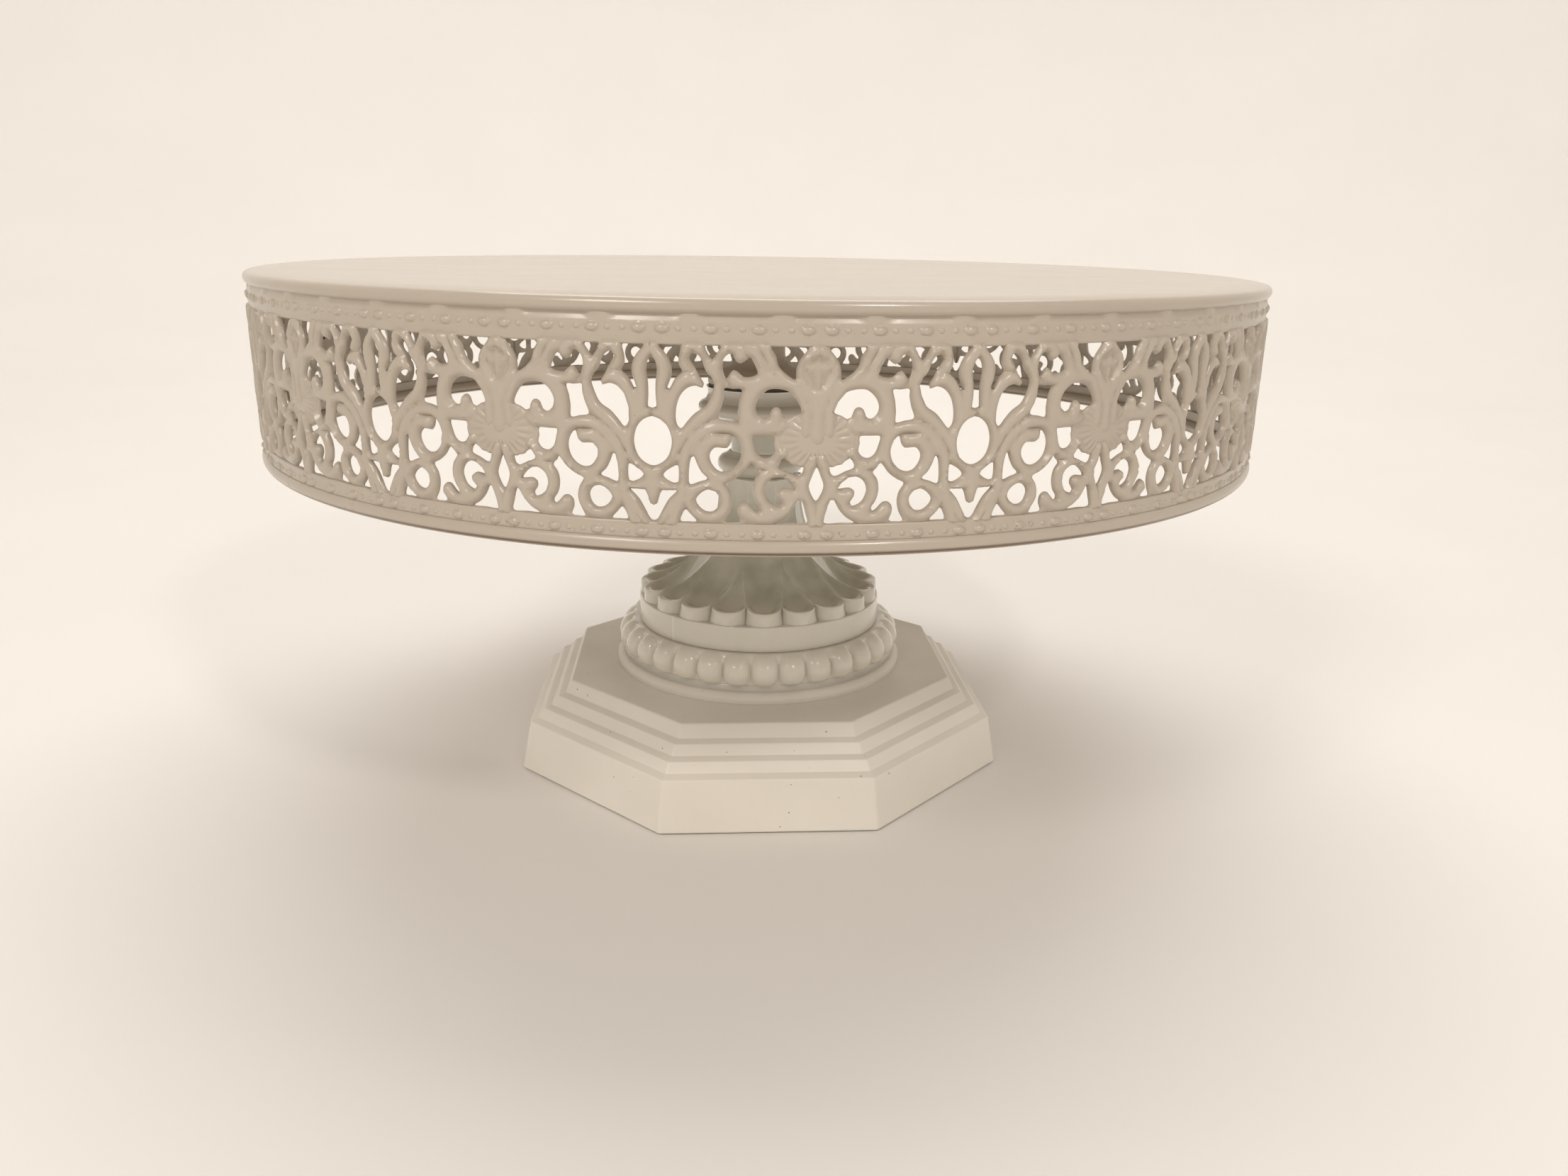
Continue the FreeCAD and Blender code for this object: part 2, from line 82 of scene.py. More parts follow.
def add_piece(name, points, faces, look, body, slot, *nodes, sharp=None, weighted=False):
    """A smooth piece from points in millimetres that stands for CAD nodes and rides on their body."""
    mesh = bpy.data.meshes.new(name)
    mesh.from_pydata((np.asarray(points) * MM).tolist(), [], faces)
    mesh.validate()
    edit = bmesh.new()
    edit.from_mesh(mesh)
    bmesh.ops.remove_doubles(edit, verts=edit.verts, dist=1e-6)
    bmesh.ops.dissolve_degenerate(edit, edges=edit.edges, dist=1e-7)
    bmesh.ops.recalc_face_normals(edit, faces=edit.faces)
    edit.to_mesh(mesh)
    edit.free()
    mesh.shade_smooth()
    if sharp is not None:
        mesh.set_sharp_from_angle(angle=math.radians(sharp))
    mesh.materials.append(MATERIALS[look])
    piece = new_object(name, mesh)
    if weighted:
        modifier = piece.modifiers.new("even_normals", "WEIGHTED_NORMAL")
        modifier.keep_sharp = True
    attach(piece, body)
    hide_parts(*nodes)
    return piece


def grid_faces(columns, rows):
    """Quads of a grid of columns by rows that closes on itself both ways."""
    faces = []
    for i in range(columns):
        j = (i + 1) % columns
        for row in range(rows):
            after = (row + 1) % rows
            faces.append((i * rows + row, j * rows + row, j * rows + after, i * rows + after))
    return faces


def angles(columns):
    """The angle of each of so many columns round Z."""
    return np.arange(columns)[:, None] * 2 * math.pi / columns


def ring_points(angle, radius, height):
    """Points round Z; angle 0 is the front of the stand, at -Y, and grows towards +X."""
    return np.stack([radius * np.sin(angle), -radius * np.cos(angle), height], -1).reshape(-1, 3)


NEARLY_STRAIGHT = 1.5  # half a corner's angle, in radians, from which it isn't rounded


def rounded(*corners, steps=4):
    """The closed outline through corners (x, y, radius), with an arc of that radius at each one."""
    outline = []
    for i, (x, y, radius) in enumerate(corners):
        here = np.array((x, y), float)
        before = np.array(corners[i - 1][:2]) - here
        after = np.array(corners[(i + 1) % len(corners)][:2]) - here
        before = before / np.linalg.norm(before)
        after = after / np.linalg.norm(after)
        half = math.acos(np.clip(before @ after, -1, 1)) / 2
        if radius == 0 or half > NEARLY_STRAIGHT:
            outline.append(here)
            continue
        middle = (before + after) / np.linalg.norm(before + after)
        centre = here + middle * radius / math.sin(half)
        start = here + before * radius / math.tan(half) - centre
        end = here + after * radius / math.tan(half) - centre
        for t in np.linspace(0, 1, steps + 1):
            spoke = start * (1 - t) + end * t
            outline.append(centre + spoke / np.linalg.norm(spoke) * radius)
    return np.array(outline)


def turned(outline, columns):
    """Points and faces of a closed outline (radius, height) turned about Z."""
    radius, height = np.repeat(outline.T[:, None], columns, 1)
    return ring_points(angles(columns), radius, height), grid_faces(columns, len(outline))


def smooth_path(points, step, closed=False):
    """A Catmull-Rom curve through points, sampled about every step of its first two values."""
    p = np.array(points, float)
    if closed:
        p = np.vstack([p[-1], p, p[0], p[1]])
    else:
        p = np.vstack([2 * p[0] - p[1], p, 2 * p[-1] - p[-2]])
    stretches = []
    for a, b, c, d in zip(p[:-3], p[1:-2], p[2:-1], p[3:]):
        count = max(1, round(np.linalg.norm((c - b)[:2]) / step))
        t = (np.arange(count) / count)[:, None]
        stretches.append(0.5 * (2 * b + (c - a) * t + (2 * a - 5 * b + 4 * c - d) * t ** 2
                                + (3 * b - a - 3 * c + d) * t ** 3))
    if not closed:
        stretches.append(p[-2:-1])
    return np.vstack(stretches)


def fade(low, high, value):
    """0 below low, 1 above high, and smooth between them."""
    t = np.clip((value - low) / (high - low), 0, 1)
    return t * t * (3 - 2 * t)


# -------- the skirt's pattern

# Openings in half a repeat, as smooth closed curves through (arc, height).
OPENINGS = {
    "beside_leg": [(1.9, 113.0), (5.2, 113.0), (8.3, 113.0), (6.6, 114.1), (5.0, 115.8), (3.8, 117.9),
        (3.0, 117.8), (2.2, 115.2)],
    "under_shell": [(2.75, 124.9), (3.1, 123.4), (4.1, 123.0), (6.0, 123.9), (7.9, 124.7), (7.5, 126.2),
        (6.8, 126.8), (5.0, 126.1), (3.5, 125.8)],
    "lower_scroll_eye": [(4.6, 120.3), (5.3, 121.4), (6.8, 122.6), (8.4, 122.8), (10.0, 121.9),
        (10.7, 120.0), (10.0, 117.9), (8.8, 116.9), (7.6, 116.6), (7.3, 117.4), (8.1, 118.6), (8.1, 119.8),
        (7.0, 120.5), (5.8, 120.4)],
    "link_eye": [(9.0, 131.2), (11.2, 131.3), (13.3, 131.2), (12.9, 129.1), (12.2, 127.5), (11.0, 126.7),
        (9.6, 127.0), (8.7, 128.2), (9.0, 129.7)],
    "upper_scroll_eye": [(3.4, 136.2), (4.2, 138.3), (5.9, 140.2), (8.0, 140.8), (10.1, 140.7),
        (12.0, 139.2), (12.8, 137.3), (12.4, 135.7), (11.2, 134.8), (10.1, 135.3), (9.6, 136.6),
        (8.7, 137.2), (7.7, 136.8), (7.0, 135.1), (6.2, 134.8), (4.8, 135.5)],
    "waist": [(15.7, 140.6), (17.4, 140.7), (19.2, 140.8), (19.3, 139.2), (19.8, 137.1), (20.5, 134.8),
        (18.4, 134.3), (16.5, 134.0), (16.5, 136.1), (16.2, 138.5)],
    "beside_bud": [(2.2, 149.2), (5.5, 149.2), (9.6, 149.2), (8.8, 147.5), (8.1, 145.3), (6.6, 143.8),
        (4.8, 142.8), (4.6, 144.8), (3.9, 146.7)],
    "over_wave": [(12.5, 143.8), (12.9, 145.3), (13.9, 147.0), (14.8, 146.5), (15.9, 145.8), (16.9, 146.3),
        (17.5, 147.6), (18.5, 147.6), (19.4, 146.6), (19.6, 144.8), (18.9, 142.8), (18.2, 143.7),
        (17.4, 144.5), (16.4, 144.1), (15.4, 143.2), (13.9, 143.2)],
    "inside_crescent": [(21.3, 141.7), (21.9, 139.5), (23.1, 137.2), (25.3, 135.7), (26.9, 134.0),
        (28.2, 132.5), (29.2, 133.7), (29.2, 136.5), (28.3, 139.2), (26.7, 140.8), (25.0, 141.2),
        (23.7, 140.8), (23.4, 141.6), (24.3, 143.2), (25.2, 144.8), (25.8, 145.8), (26.4, 146.8),
        (25.8, 147.7), (24.6, 147.3), (23.7, 146.1), (23.0, 144.2), (21.9, 143.0)],
    "rail_triangle": [(20.0, 149.1), (21.6, 149.2), (23.2, 149.1), (22.6, 147.7), (21.7, 146.6),
        (20.8, 147.7)],
    "beside_flame": [(28.2, 149.1), (30.4, 149.2), (32.6, 149.1), (31.1, 147.3), (30.1, 145.3),
        (30.1, 143.1), (31.0, 140.7), (30.5, 140.5), (29.4, 142.5), (27.9, 144.0), (28.6, 145.5),
        (28.5, 147.2)],
    "spiral_eye": [(17.4, 131.2), (16.3, 130.2), (15.7, 128.2), (16.2, 125.9), (17.5, 124.4),
        (19.2, 123.7), (20.9, 124.2), (22.1, 125.9), (22.2, 127.5), (21.2, 128.7), (19.9, 128.7),
        (18.7, 128.7), (17.9, 129.7)],
    "beside_spiral": [(25.6, 126.8), (24.9, 125.1), (24.0, 123.5), (22.8, 122.2), (24.6, 121.5),
        (26.4, 120.9), (26.7, 122.2), (26.5, 125.1), (26.1, 126.6)],
    "over_wing": [(29.0, 124.8), (30.0, 124.5), (31.4, 123.6), (32.1, 122.6), (31.2, 121.7), (29.8, 121.1),
        (29.0, 121.3), (28.8, 123.1)],
    "ring_eye": [(20.2, 118.1), (21.1, 119.5), (22.6, 119.9), (24.2, 119.1), (25.2, 117.7), (24.6, 116.4),
        (23.3, 115.4), (21.7, 115.3), (20.6, 116.3)],
    "under_ring": [(25.1, 113.1), (26.8, 113.0), (28.5, 113.1), (28.2, 114.4), (27.4, 115.6),
        (26.2, 114.4)],
    "between_scrolls": [(13.7, 125.6), (12.9, 124.7), (12.0, 123.7), (13.0, 122.2), (13.4, 120.0),
        (12.9, 117.8), (11.9, 116.3), (12.2, 115.4), (13.2, 116.1), (14.2, 117.2), (15.4, 117.4),
        (16.4, 116.5), (16.5, 115.0), (15.9, 113.3), (17.4, 113.0), (19.0, 113.2), (18.0, 115.1),
        (17.5, 117.4), (17.9, 119.5), (18.9, 121.2), (17.3, 122.1), (15.4, 123.5)],
}

# Openings across an axis of the pattern, as one half: (distance from the axis, height).
BUD_AXIS_OPENINGS = {
    "leg_diamond": [(0, 124.8), (0.9, 122.9), (1.55, 120.9), (0.9, 118.9), (0, 117.7)],
}
OVAL_AXIS_OPENINGS = {
    "flame_slot": [(0, 146.8), (0.8, 146.0), (1.1, 144.2), (0.8, 141.7), (0.75, 139.2), (0.85, 136.8),
        (0, 136.5)],
    "oval_eye": [(0, 134.8), (2.9, 133.2), (4.0, 129.7), (2.9, 126.2), (0, 124.6)],
    "pendant_gap": [(0, 116.2), (0.7, 116.6), (1.2, 118.1), (1.8, 119.4), (3.4, 119.5), (5.0, 119.5),
        (3.2, 117.6), (1.9, 115.4), (0.9, 113.5), (0, 113.0)],
}

# Rounded strokes of half a repeat: (arc, height, half width) along the middle of each one.
STROKES = {
    "leg": [(0.9, 126.7, 1.1), (1.9, 123.9, 1.3), (2.9, 121.0, 1.6), (1.9, 117.8, 1.5), (0.9, 115.6, 1.5),
        (0.4, 112.3, 1.9)],
    "lower_scroll": [(3.2, 120.6, 1.5), (4.9, 122.7, 1.3), (8.2, 123.8, 1.3), (11.1, 122.6, 1.5),
        (12.1, 120.0, 1.6), (11.3, 117.4, 1.5), (9.4, 115.5, 1.4), (7.3, 115.6, 1.4)],
    "lower_arm": [(3.3, 120.2, 1.5), (4.9, 117.4, 1.6), (7.6, 115.2, 1.7), (10.8, 114.3, 1.5),
        (13.4, 114.7, 1.6), (15.0, 115.8, 1.7)],
    "lower_tongue": [(4.0, 119.5, 1.4), (5.8, 118.8, 1.5), (7.1, 119.3, 1.4)],
    "link": [(7.2, 127.7, 1.3), (8.6, 126.1, 1.3), (10.7, 125.4, 1.3), (12.6, 126.2, 1.3),
        (14.0, 128.1, 1.4)],
    "upper_scroll": [(2.5, 131.8, 1.1), (2.5, 135.1, 1.4), (3.4, 138.7, 1.55), (5.3, 141.5, 1.5),
        (8.6, 142.2, 1.5), (12.2, 141.2, 1.7), (14.4, 138.5, 1.9), (14.5, 135.6, 1.9), (12.9, 133.8, 1.3),
        (10.8, 133.6, 1.4), (9.1, 134.2, 1.4), (8.6, 135.8, 1.4)],
    "upper_lip": [(15.8, 136.1, 0.9), (15.4, 134.1, 1.1), (13.8, 132.3, 1.1), (11.2, 132.2, 1.0),
        (8.4, 132.7, 1.0), (6.8, 133.5, 0.8)],
    "leaf_left": [(4.6, 141.7, 1.3), (7.4, 143.2, 1.4), (9.1, 145.5, 1.3), (10.1, 147.7, 1.4),
        (10.9, 150.2, 1.7)],
    "leaf_right": [(9.4, 142.6, 1.2), (11.3, 143.8, 1.4), (12.1, 146.1, 1.4), (13.1, 148.0, 1.5),
        (14.4, 150.1, 1.8)],
    "wave": [(9.6, 143.1, 1.2), (12.4, 142.3, 1.3), (14.8, 141.8, 1.4), (16.9, 142.2, 1.4),
        (17.4, 143.3, 1.3)],
    "tall_curve": [(29.2, 128.8, 1.5), (27.0, 132.1, 1.4), (24.2, 134.6, 1.6), (21.9, 136.6, 1.6),
        (20.6, 139.2, 1.5), (20.5, 141.7, 1.4), (21.0, 144.1, 1.4), (20.5, 146.7, 1.4), (19.0, 148.8, 1.5),
        (17.0, 149.1, 1.5), (15.9, 147.5, 1.6)],
    "hook": [(20.9, 142.1, 1.2), (22.3, 144.8, 1.2), (23.2, 147.1, 1.3), (24.6, 148.8, 1.4),
        (26.6, 148.8, 1.4), (27.5, 147.0, 1.3), (26.8, 145.1, 1.4)],
    "crescent": [(30.4, 131.2, 1.3), (30.3, 136.2, 1.5), (29.6, 139.5, 1.6), (27.9, 142.0, 1.6),
        (25.8, 142.6, 1.5), (24.1, 141.8, 1.0)],
    "flame": [(HALF, 149.0, 1.9), (32.8, 147.3, 1.7), (31.6, 144.6, 1.6), (32.1, 141.2, 1.6),
        (32.3, 138.5, 1.7), (31.4, 135.2, 1.7)],
    "spiral_inner": [(19.2, 130.2, 1.6), (21.4, 130.2, 1.6), (23.3, 128.8, 1.7), (24.0, 126.7, 1.9),
        (23.2, 124.4, 1.7), (21.3, 122.8, 1.4), (18.9, 122.5, 1.4), (16.4, 123.7, 1.4), (14.8, 125.6, 1.5),
        (14.2, 128.1, 1.6)],
    "spiral_outer": [(14.8, 125.6, 1.5), (14.2, 128.1, 1.6), (14.7, 130.7, 1.6), (16.6, 132.7, 1.5),
        (19.6, 133.2, 1.4), (22.5, 132.5, 1.3), (25.0, 130.7, 1.3), (26.9, 128.1, 1.4), (27.7, 124.7, 1.4),
        (27.8, 121.0, 1.3)],
    "eye_shoulder": [(22.6, 121.1, 1.3), (25.4, 120.5, 1.3), (27.6, 119.8, 1.4)],
    "foot_outer": [(27.8, 121.0, 1.3), (28.2, 118.5, 1.2), (28.9, 116.3, 1.2), (29.6, 114.4, 1.3),
        (30.4, 112.1, 1.5)],
    "foot_inner": [(28.6, 119.1, 1.0), (30.2, 117.2, 1.1), (31.5, 115.0, 1.1), (32.6, 112.3, 1.3)],
    "wing": [(28.0, 120.4, 1.0), (30.4, 120.3, 1.0), (32.4, 120.6, 1.2), (33.6, 122.1, 1.6),
        (HALF, 123.2, 1.9)],
    "pendant": [(HALF, 123.9, 1.7), (HALF, 119.8, 1.9), (HALF, 117.0, 1.2)],
    "bud_rim": [(0.0, 148.7, 1.3), (2.0, 147.6, 1.0), (3.75, 145.7, 1.0), (3.75, 143.8, 1.0),
        (2.6, 141.6, 1.1), (1.3, 139.2, 1.3), (0.7, 137.1, 1.2)],
    "stem": [(0.0, 139.5, 2.0), (0.0, 136.2, 1.75), (0.0, 133.1, 1.8), (0.0, 131.1, 1.9)],
    "petal_side": [(0.9, 145.1, 0.6), (1.6, 145.1, 0.8), (2.2, 145.2, 0.5)],
    "petal_top": [(0.0, 145.2, 0.6), (0.0, 146.5, 0.55), (0.0, 147.0, 0.4)],
    "petal_low": [(0.0, 144.8, 0.6), (0.0, 143.2, 0.6), (0.0, 141.8, 0.4)],
}
# Ellipses: centre, half width, half height, and half the width of the stroke.
OVAL = ((HALF, 129.65), 4.8, 5.85, 1.35)
RING = ((22.5, 117.6), 3.75, 3.25, 1.45)
OVAL_OVERLAP = 0.4  # the half oval runs on past its axis by this angle
ELLIPSE_POINTS = 17


def ellipse_stroke(centre, half_width, half_height, thick, start=0.0, end=2 * math.pi):
    """A stroke along an ellipse, from the angle start to end."""
    angle = np.linspace(start, end, ELLIPSE_POINTS)
    return np.stack([centre[0] + half_width * np.sin(angle), centre[1] - half_height * np.cos(angle),
                     np.full(ELLIPSE_POINTS, thick)], -1)


def all_strokes():
    """Every stroke that lies in half a repeat."""
    half_oval = ellipse_stroke(*OVAL, -math.pi - OVAL_OVERLAP, OVAL_OVERLAP)
    return [*STROKES.values(), half_oval, ellipse_stroke(*RING)]


def mirrored(points, axis, side):
    """A closed outline across an axis, from the half of it on one side."""
    half = np.array(points, float) * (side, 1) + (axis, 0)
    other = half[-2:0:-1] * (-1, 1) + (2 * axis, 0)
    return np.vstack([half, other])


def opening_loops(step):
    """The edge of each opening in half a repeat, those across an axis whole."""
    loops = [smooth_path(points, step, closed=True) for points in OPENINGS.values()]
    for axis, side, group in ((0.0, 1, BUD_AXIS_OPENINGS), (HALF, -1, OVAL_AXIS_OPENINGS)):
        for points in group.values():
            loop = smooth_path(mirrored(points, axis, side), step, closed=True)
            loop[abs(loop[:, 0] - axis) < 1e-6, 0] = axis
            loops.append(loop)
    return loops


def within(loop, u, z):
    """Which points lie inside a closed outline."""
    hit = np.zeros(u.shape, bool)
    for (u0, z0), (u1, z1) in zip(loop, np.roll(loop, -1, axis=0)):
        if z0 != z1:
            crosses = (z0 > z) != (z1 > z)
            hit ^= crosses & (u < (u1 - u0) * (z - z0) / (z1 - z0) + u0)
    return hit


def near_box(path, u, z, margin):
    """Which points lie within margin of a path's box."""
    low, high = path.min(0) - margin, path.max(0) + margin
    return (u > low[0]) & (u < high[0]) & (z > low[1]) & (z < high[1])


FAR = 3.0  # distances to an opening are not worked out past this


def edge_distance(loops, u, z):
    """Distance to the nearest opening, negative inside it, and no more than FAR."""
    best = np.full(u.shape, FAR)
    for loop in loops:
        near = near_box(loop, u, z, FAR)
        if near.any():
            away = np.hypot(u[near][:, None] - loop[:, 0], z[near][:, None] - loop[:, 1]).min(1)
            best[near] = np.minimum(best[near], np.where(within(loop, u[near], z[near]), -away, away))
    return best


FINE_STEP = 0.2  # along the curves that distances are measured to
WIDTH_SHARE = 0.93  # a stroke comes out at this share of its drawn width
FULL_HEIGHT_WIDTH = 1.15  # half width from which a stroke stands at its full height


def stroke_height(stroke, u, z):
    """Height along the middle of a stroke, rounded down to 0 at its sides; thin strokes stand lower."""
    path = smooth_path(stroke, FINE_STEP)
    height = np.zeros(u.shape)
    near = near_box(path, u, z, path[:, 2].max())
    if near.any():
        width = WIDTH_SHARE * path[:, 2]
        across = ((u[near][:, None] - path[:, 0]) ** 2 + (z[near][:, None] - path[:, 1]) ** 2) / width ** 2
        nearest = across.argmin(1)
        rounding = np.clip(1 - across.min(1), 0, 1) ** 0.6
        height[near] = rounding * np.clip(width[nearest] / FULL_HEIGHT_WIDTH, 0, 1) ** 0.9
    return height


SHELL_CENTRE_Z, SHELL_RIBS = 130.65, 24
SHELL_REACH, SHELL_FAN, SHELL_SCALLOP = 5.0, 3.2, 0.1
SHELL_RISE, SHELL_GROOVE = 0.95, 0.26
SHELL_RINGS = np.array([0.0, 0.2, 0.35, 0.45, 0.52, 0.59, 0.66, 0.73, 0.8, 0.87, 0.93, 0.97, 1.0])


def shell_reach(turn):
    """How far the ribbed shell behind the stem reaches, at an angle from the level: most to its sides."""
    fan = SHELL_REACH + SHELL_FAN * abs(np.cos(turn + np.sign(np.cos(turn)) * 0.1)) ** 1.3
    return fan + SHELL_SCALLOP * np.cos(SHELL_RIBS * turn)


def lace_shells():
    """One shell for each repeat: a low dome with ribs that fan out from its middle."""
    columns = SHELL_RIBS * 6
    turn = angles(columns)
    share = SHELL_RINGS[None, :]
    reach = shell_reach(turn) * share
    dome = np.sqrt(1 - share ** 4 * 0.97)
    groove = (0.5 - 0.5 * np.cos(SHELL_RIBS * turn)) ** 1.3
    cut = groove * fade(0.44, 0.62, share) * (1 - fade(0.84, 0.97, share))
    face_r = SHEET_R + FACE_LIFT + SHELL_RISE * dome - SHELL_GROOVE * cut
    u = reach * np.cos(turn)
    z = SHELL_CENTRE_Z + reach * np.sin(turn)
    u, z, face_r = (np.hstack([value, value[:, -1:]]) for value in (u, z, face_r))
    face_r[:, -1] = SHEET_R + EDGE_LIFT
    faces = grid_faces(columns, len(SHELL_RINGS) + 1)
    shells = [(ring_points((2 * HALF * repeat + u) / FACE_R + LACE_TURN, face_r, z), faces)
              for repeat in range(REPEATS)]
    return add_piece("lace_shells", *joined(*shells), "plate_paint", "plate", "plate_paint", "lace_band")


BLEND_POWER, STROKE_LIMIT = 6, 1.04  # how strokes that cross run into one another
SHOULDER_WIDTH = 0.9  # the face is rounded off this close to an opening
SHEET_SHARE = 0.22  # height of the face where there is no stroke
RAIL_SHARE, RAIL_MARGIN = 0.3, 0.1  # height that is left behind the rails


def relief(loops, u, z):
    """Height of the embossed face over the sheet at points of half a repeat."""
    total = 0.0
    for stroke in all_strokes():
        total = total + stroke_height(stroke, u, z) ** BLEND_POWER
    strokes = np.minimum(total ** (1 / BLEND_POWER), STROKE_LIMIT)
    edge = np.clip(edge_distance(loops, u, z), 0, SHOULDER_WIDTH) / SHOULDER_WIDTH
    shoulder = np.sqrt(1 - (1 - edge) ** 2)
    body = shoulder * (SHEET_SHARE + (1 - SHEET_SHARE) * strokes)
    under_high_rail = fade(LACE_HIGH + TUCK, LACE_HIGH + RAIL_MARGIN, z)
    over_low_rail = fade(LACE_LOW - TUCK, LACE_LOW - RAIL_MARGIN, z)
    return body * (RAIL_SHARE + (1 - RAIL_SHARE) * (under_high_rail * over_low_rail))


# -------- the skirt's mesh

def triangulate(points, edges, keep):
    """Triangles between points in the plane that respect edges, where keep says yes to their middle."""
    made, _, faces, _, _, _ = delaunay_2d_cdt([Vector(p) for p in points], edges, [], 0, 1e-5)
    made = np.array([tuple(p) for p in made])
    faces = np.array(faces)
    middle = made[faces].mean(1)
    return made, faces[keep(middle[:, 0], middle[:, 1])]


def frame_points(step, low, high):
    """Points round the rectangle of half a repeat."""
    across = np.linspace(0, HALF, round(HALF / step) + 1)
    up = np.linspace(low, high, round((high - low) / step) + 1)[1:-1]
    points = [(u, z) for z in (low, high) for u in across]
    return np.array(points + [(u, z) for u in (0.0, HALF) for z in up])


def lace_outline(loops, low, high):
    """Points on the openings' edges and on the frame of half a repeat, and the edges between them."""
    points, edges = [], []
    for loop in loops:
        inside = (loop[:, 0] > -1e-6) & (loop[:, 0] < HALF + 1e-6)
        number = {}
        for i in np.flatnonzero(inside):
            number[i] = len(points)
            points.append(loop[i])
        for i in number:
            after = (i + 1) % len(loop)
            if after in number:
                edges.append((number[i], number[after]))
    border = frame_points(1.2, low, high)
    clear = abs(edge_distance(loops, border[:, 0], border[:, 1])) > 0.25
    return np.vstack([points, border[clear]]), edges


def shifted_loops(loops, distance):
    """The openings' edges moved out into the metal."""
    rows = []
    for loop in loops:
        along = np.roll(loop, -1, axis=0) - np.roll(loop, 1, axis=0)
        normal = np.stack([along[:, 1], -along[:, 0]], -1) / np.linalg.norm(along, axis=1)[:, None]
        outward = loop + normal * 0.05
        sign = -1 if within(loop, outward[:, 0], outward[:, 1]).mean() > 0.5 else 1
        rows.append(loop + sign * normal * distance)
    moved = np.vstack(rows)
    true = edge_distance(loops, moved[:, 0], moved[:, 1]) > 0.9 * distance
    return moved[true & (moved[:, 0] > 0.1) & (moved[:, 0] < HALF - 0.1)]


def clear_grid(step, loops, low, high, clearance):
    """Staggered points over half a repeat that lie in the metal and clear of the openings' edges."""
    rows = round((high - low) / (step * 0.866))
    columns = round(HALF / step)
    grid = np.array([((column + row % 2 / 2 + 0.25) * HALF / columns, low + row * (high - low) / rows)
                     for row in range(1, rows) for column in range(columns)])
    return grid[edge_distance(loops, grid[:, 0], grid[:, 1]) > clearance]


def edge_walls(points, faces):
    """Walls from the open edges of the front face back to the sheet, none on the half repeat's axes."""
    sides = dict.fromkeys(edge for a, b, c in faces for edge in ((a, b), (b, c), (c, a)))
    wall_points, walls = [], []
    for a, b in sides:
        on_axis = points[a, 0] == points[b, 0] and points[a, 0] in (0.0, HALF)
        if (b, a) not in sides and not on_axis:
            first = len(wall_points)
            wall_points += [points[a], points[b]]
            wall_points += [(points[i, 0], SHEET_R + EDGE_LIFT, points[i, 2]) for i in (b, a)]
            walls.append((first, first + 1, first + 2, first + 3))
    return np.array(wall_points), walls


OPENING_STEP, FRONT_STEP, BACK_STEP, SHOULDER_STEP = 0.62, 0.79, 1.75, 0.24
FRONT_CLEARANCE, BACK_CLEARANCE = 0.5, 0.6
EDGE_LIFT, BACK_LIFT, BACK_RELIEF = 0.1, 0.15, 0.6


def lace_half():
    """Points (arc, radius, height) and faces of half a repeat: relief, sheet behind it, edge walls."""
    low, high = LACE_LOW - TUCK, LACE_HIGH + TUCK
    loops = opening_loops(OPENING_STEP)
    fine = opening_loops(FINE_STEP)
    outline, edges = lace_outline(loops, low, high)

    def in_metal(u, z):
        return edge_distance(fine, u, z) > 0.0

    grid = clear_grid(FRONT_STEP, fine, low, high, FRONT_CLEARANCE)
    shoulder = shifted_loops(loops, SHOULDER_STEP)
    front, front_faces = triangulate(np.vstack([outline, shoulder, grid]), edges, in_metal)
    coarse = clear_grid(BACK_STEP, fine, low, high, BACK_CLEARANCE)
    back, back_faces = triangulate(np.vstack([outline, coarse]), edges, in_metal)
    raised = SHEET_R + FACE_LIFT + RELIEF_HEIGHT * relief(fine, front[:, 0], front[:, 1])
    hollow = SHEET_R + BACK_LIFT + BACK_RELIEF * relief(fine, back[:, 0], back[:, 1])
    front = np.stack([front[:, 0], raised, front[:, 1]], -1)
    back = np.stack([back[:, 0], hollow, back[:, 1]], -1)
    return joined((front, front_faces), (back, [face[::-1] for face in back_faces]),
                  edge_walls(front, front_faces))


def repeat_round(points, faces):
    """Points (arc, radius, height) and faces of half a repeat, mirrored and repeated all round."""
    parts = []
    for repeat in range(REPEATS):
        for side in (1, -1):
            arc = 2 * HALF * repeat + side * points[:, 0]
            placed = ring_points(arc / FACE_R + LACE_TURN, points[:, 1], points[:, 2])
            parts.append((placed, [face[::side] for face in faces]))
    return joined(*parts)


def joined(*parts):
    """Several (points, faces) as one."""
    points, faces, offset = [], [], 0
    for some_points, some_faces in parts:
        points.append(some_points)
        faces.extend(tuple(int(i) + offset for i in face) for face in some_faces)
        offset += len(some_points)
    return np.vstack(points), faces


def lace_openwork():
    """The embossed wall of the skirt with its openings."""
    return add_piece("lace_openwork", *repeat_round(*lace_half()), "plate_paint", "plate", "plate_paint",
                     "lace_band", sharp=48)


# Beads of half a repeat: (arc, half width, half height, rise).
BEADS = [(arc, 1.35, 0.85, 0.72) for arc in (2.4, 12.2, 22.0, 31.8)]
BEADS += [(arc, 0.6, 0.5, 0.28) for arc in (5.7, 8.9, 15.5, 18.7, 25.3, 28.5)]
BEAD_EDGE = 1.15  # a bead's dome meets the face at this share of its half sizes
BEAD_RINGS = (0.4, 0.7, 0.92, 1.05, BEAD_EDGE, 1.35)
BEAD_SIDES = 14
LOW_BEADS_Z, HIGH_BEADS_Z = 110.6, 152.5
RAIL_COLUMNS, RAIL_ROW = 30, 0.62


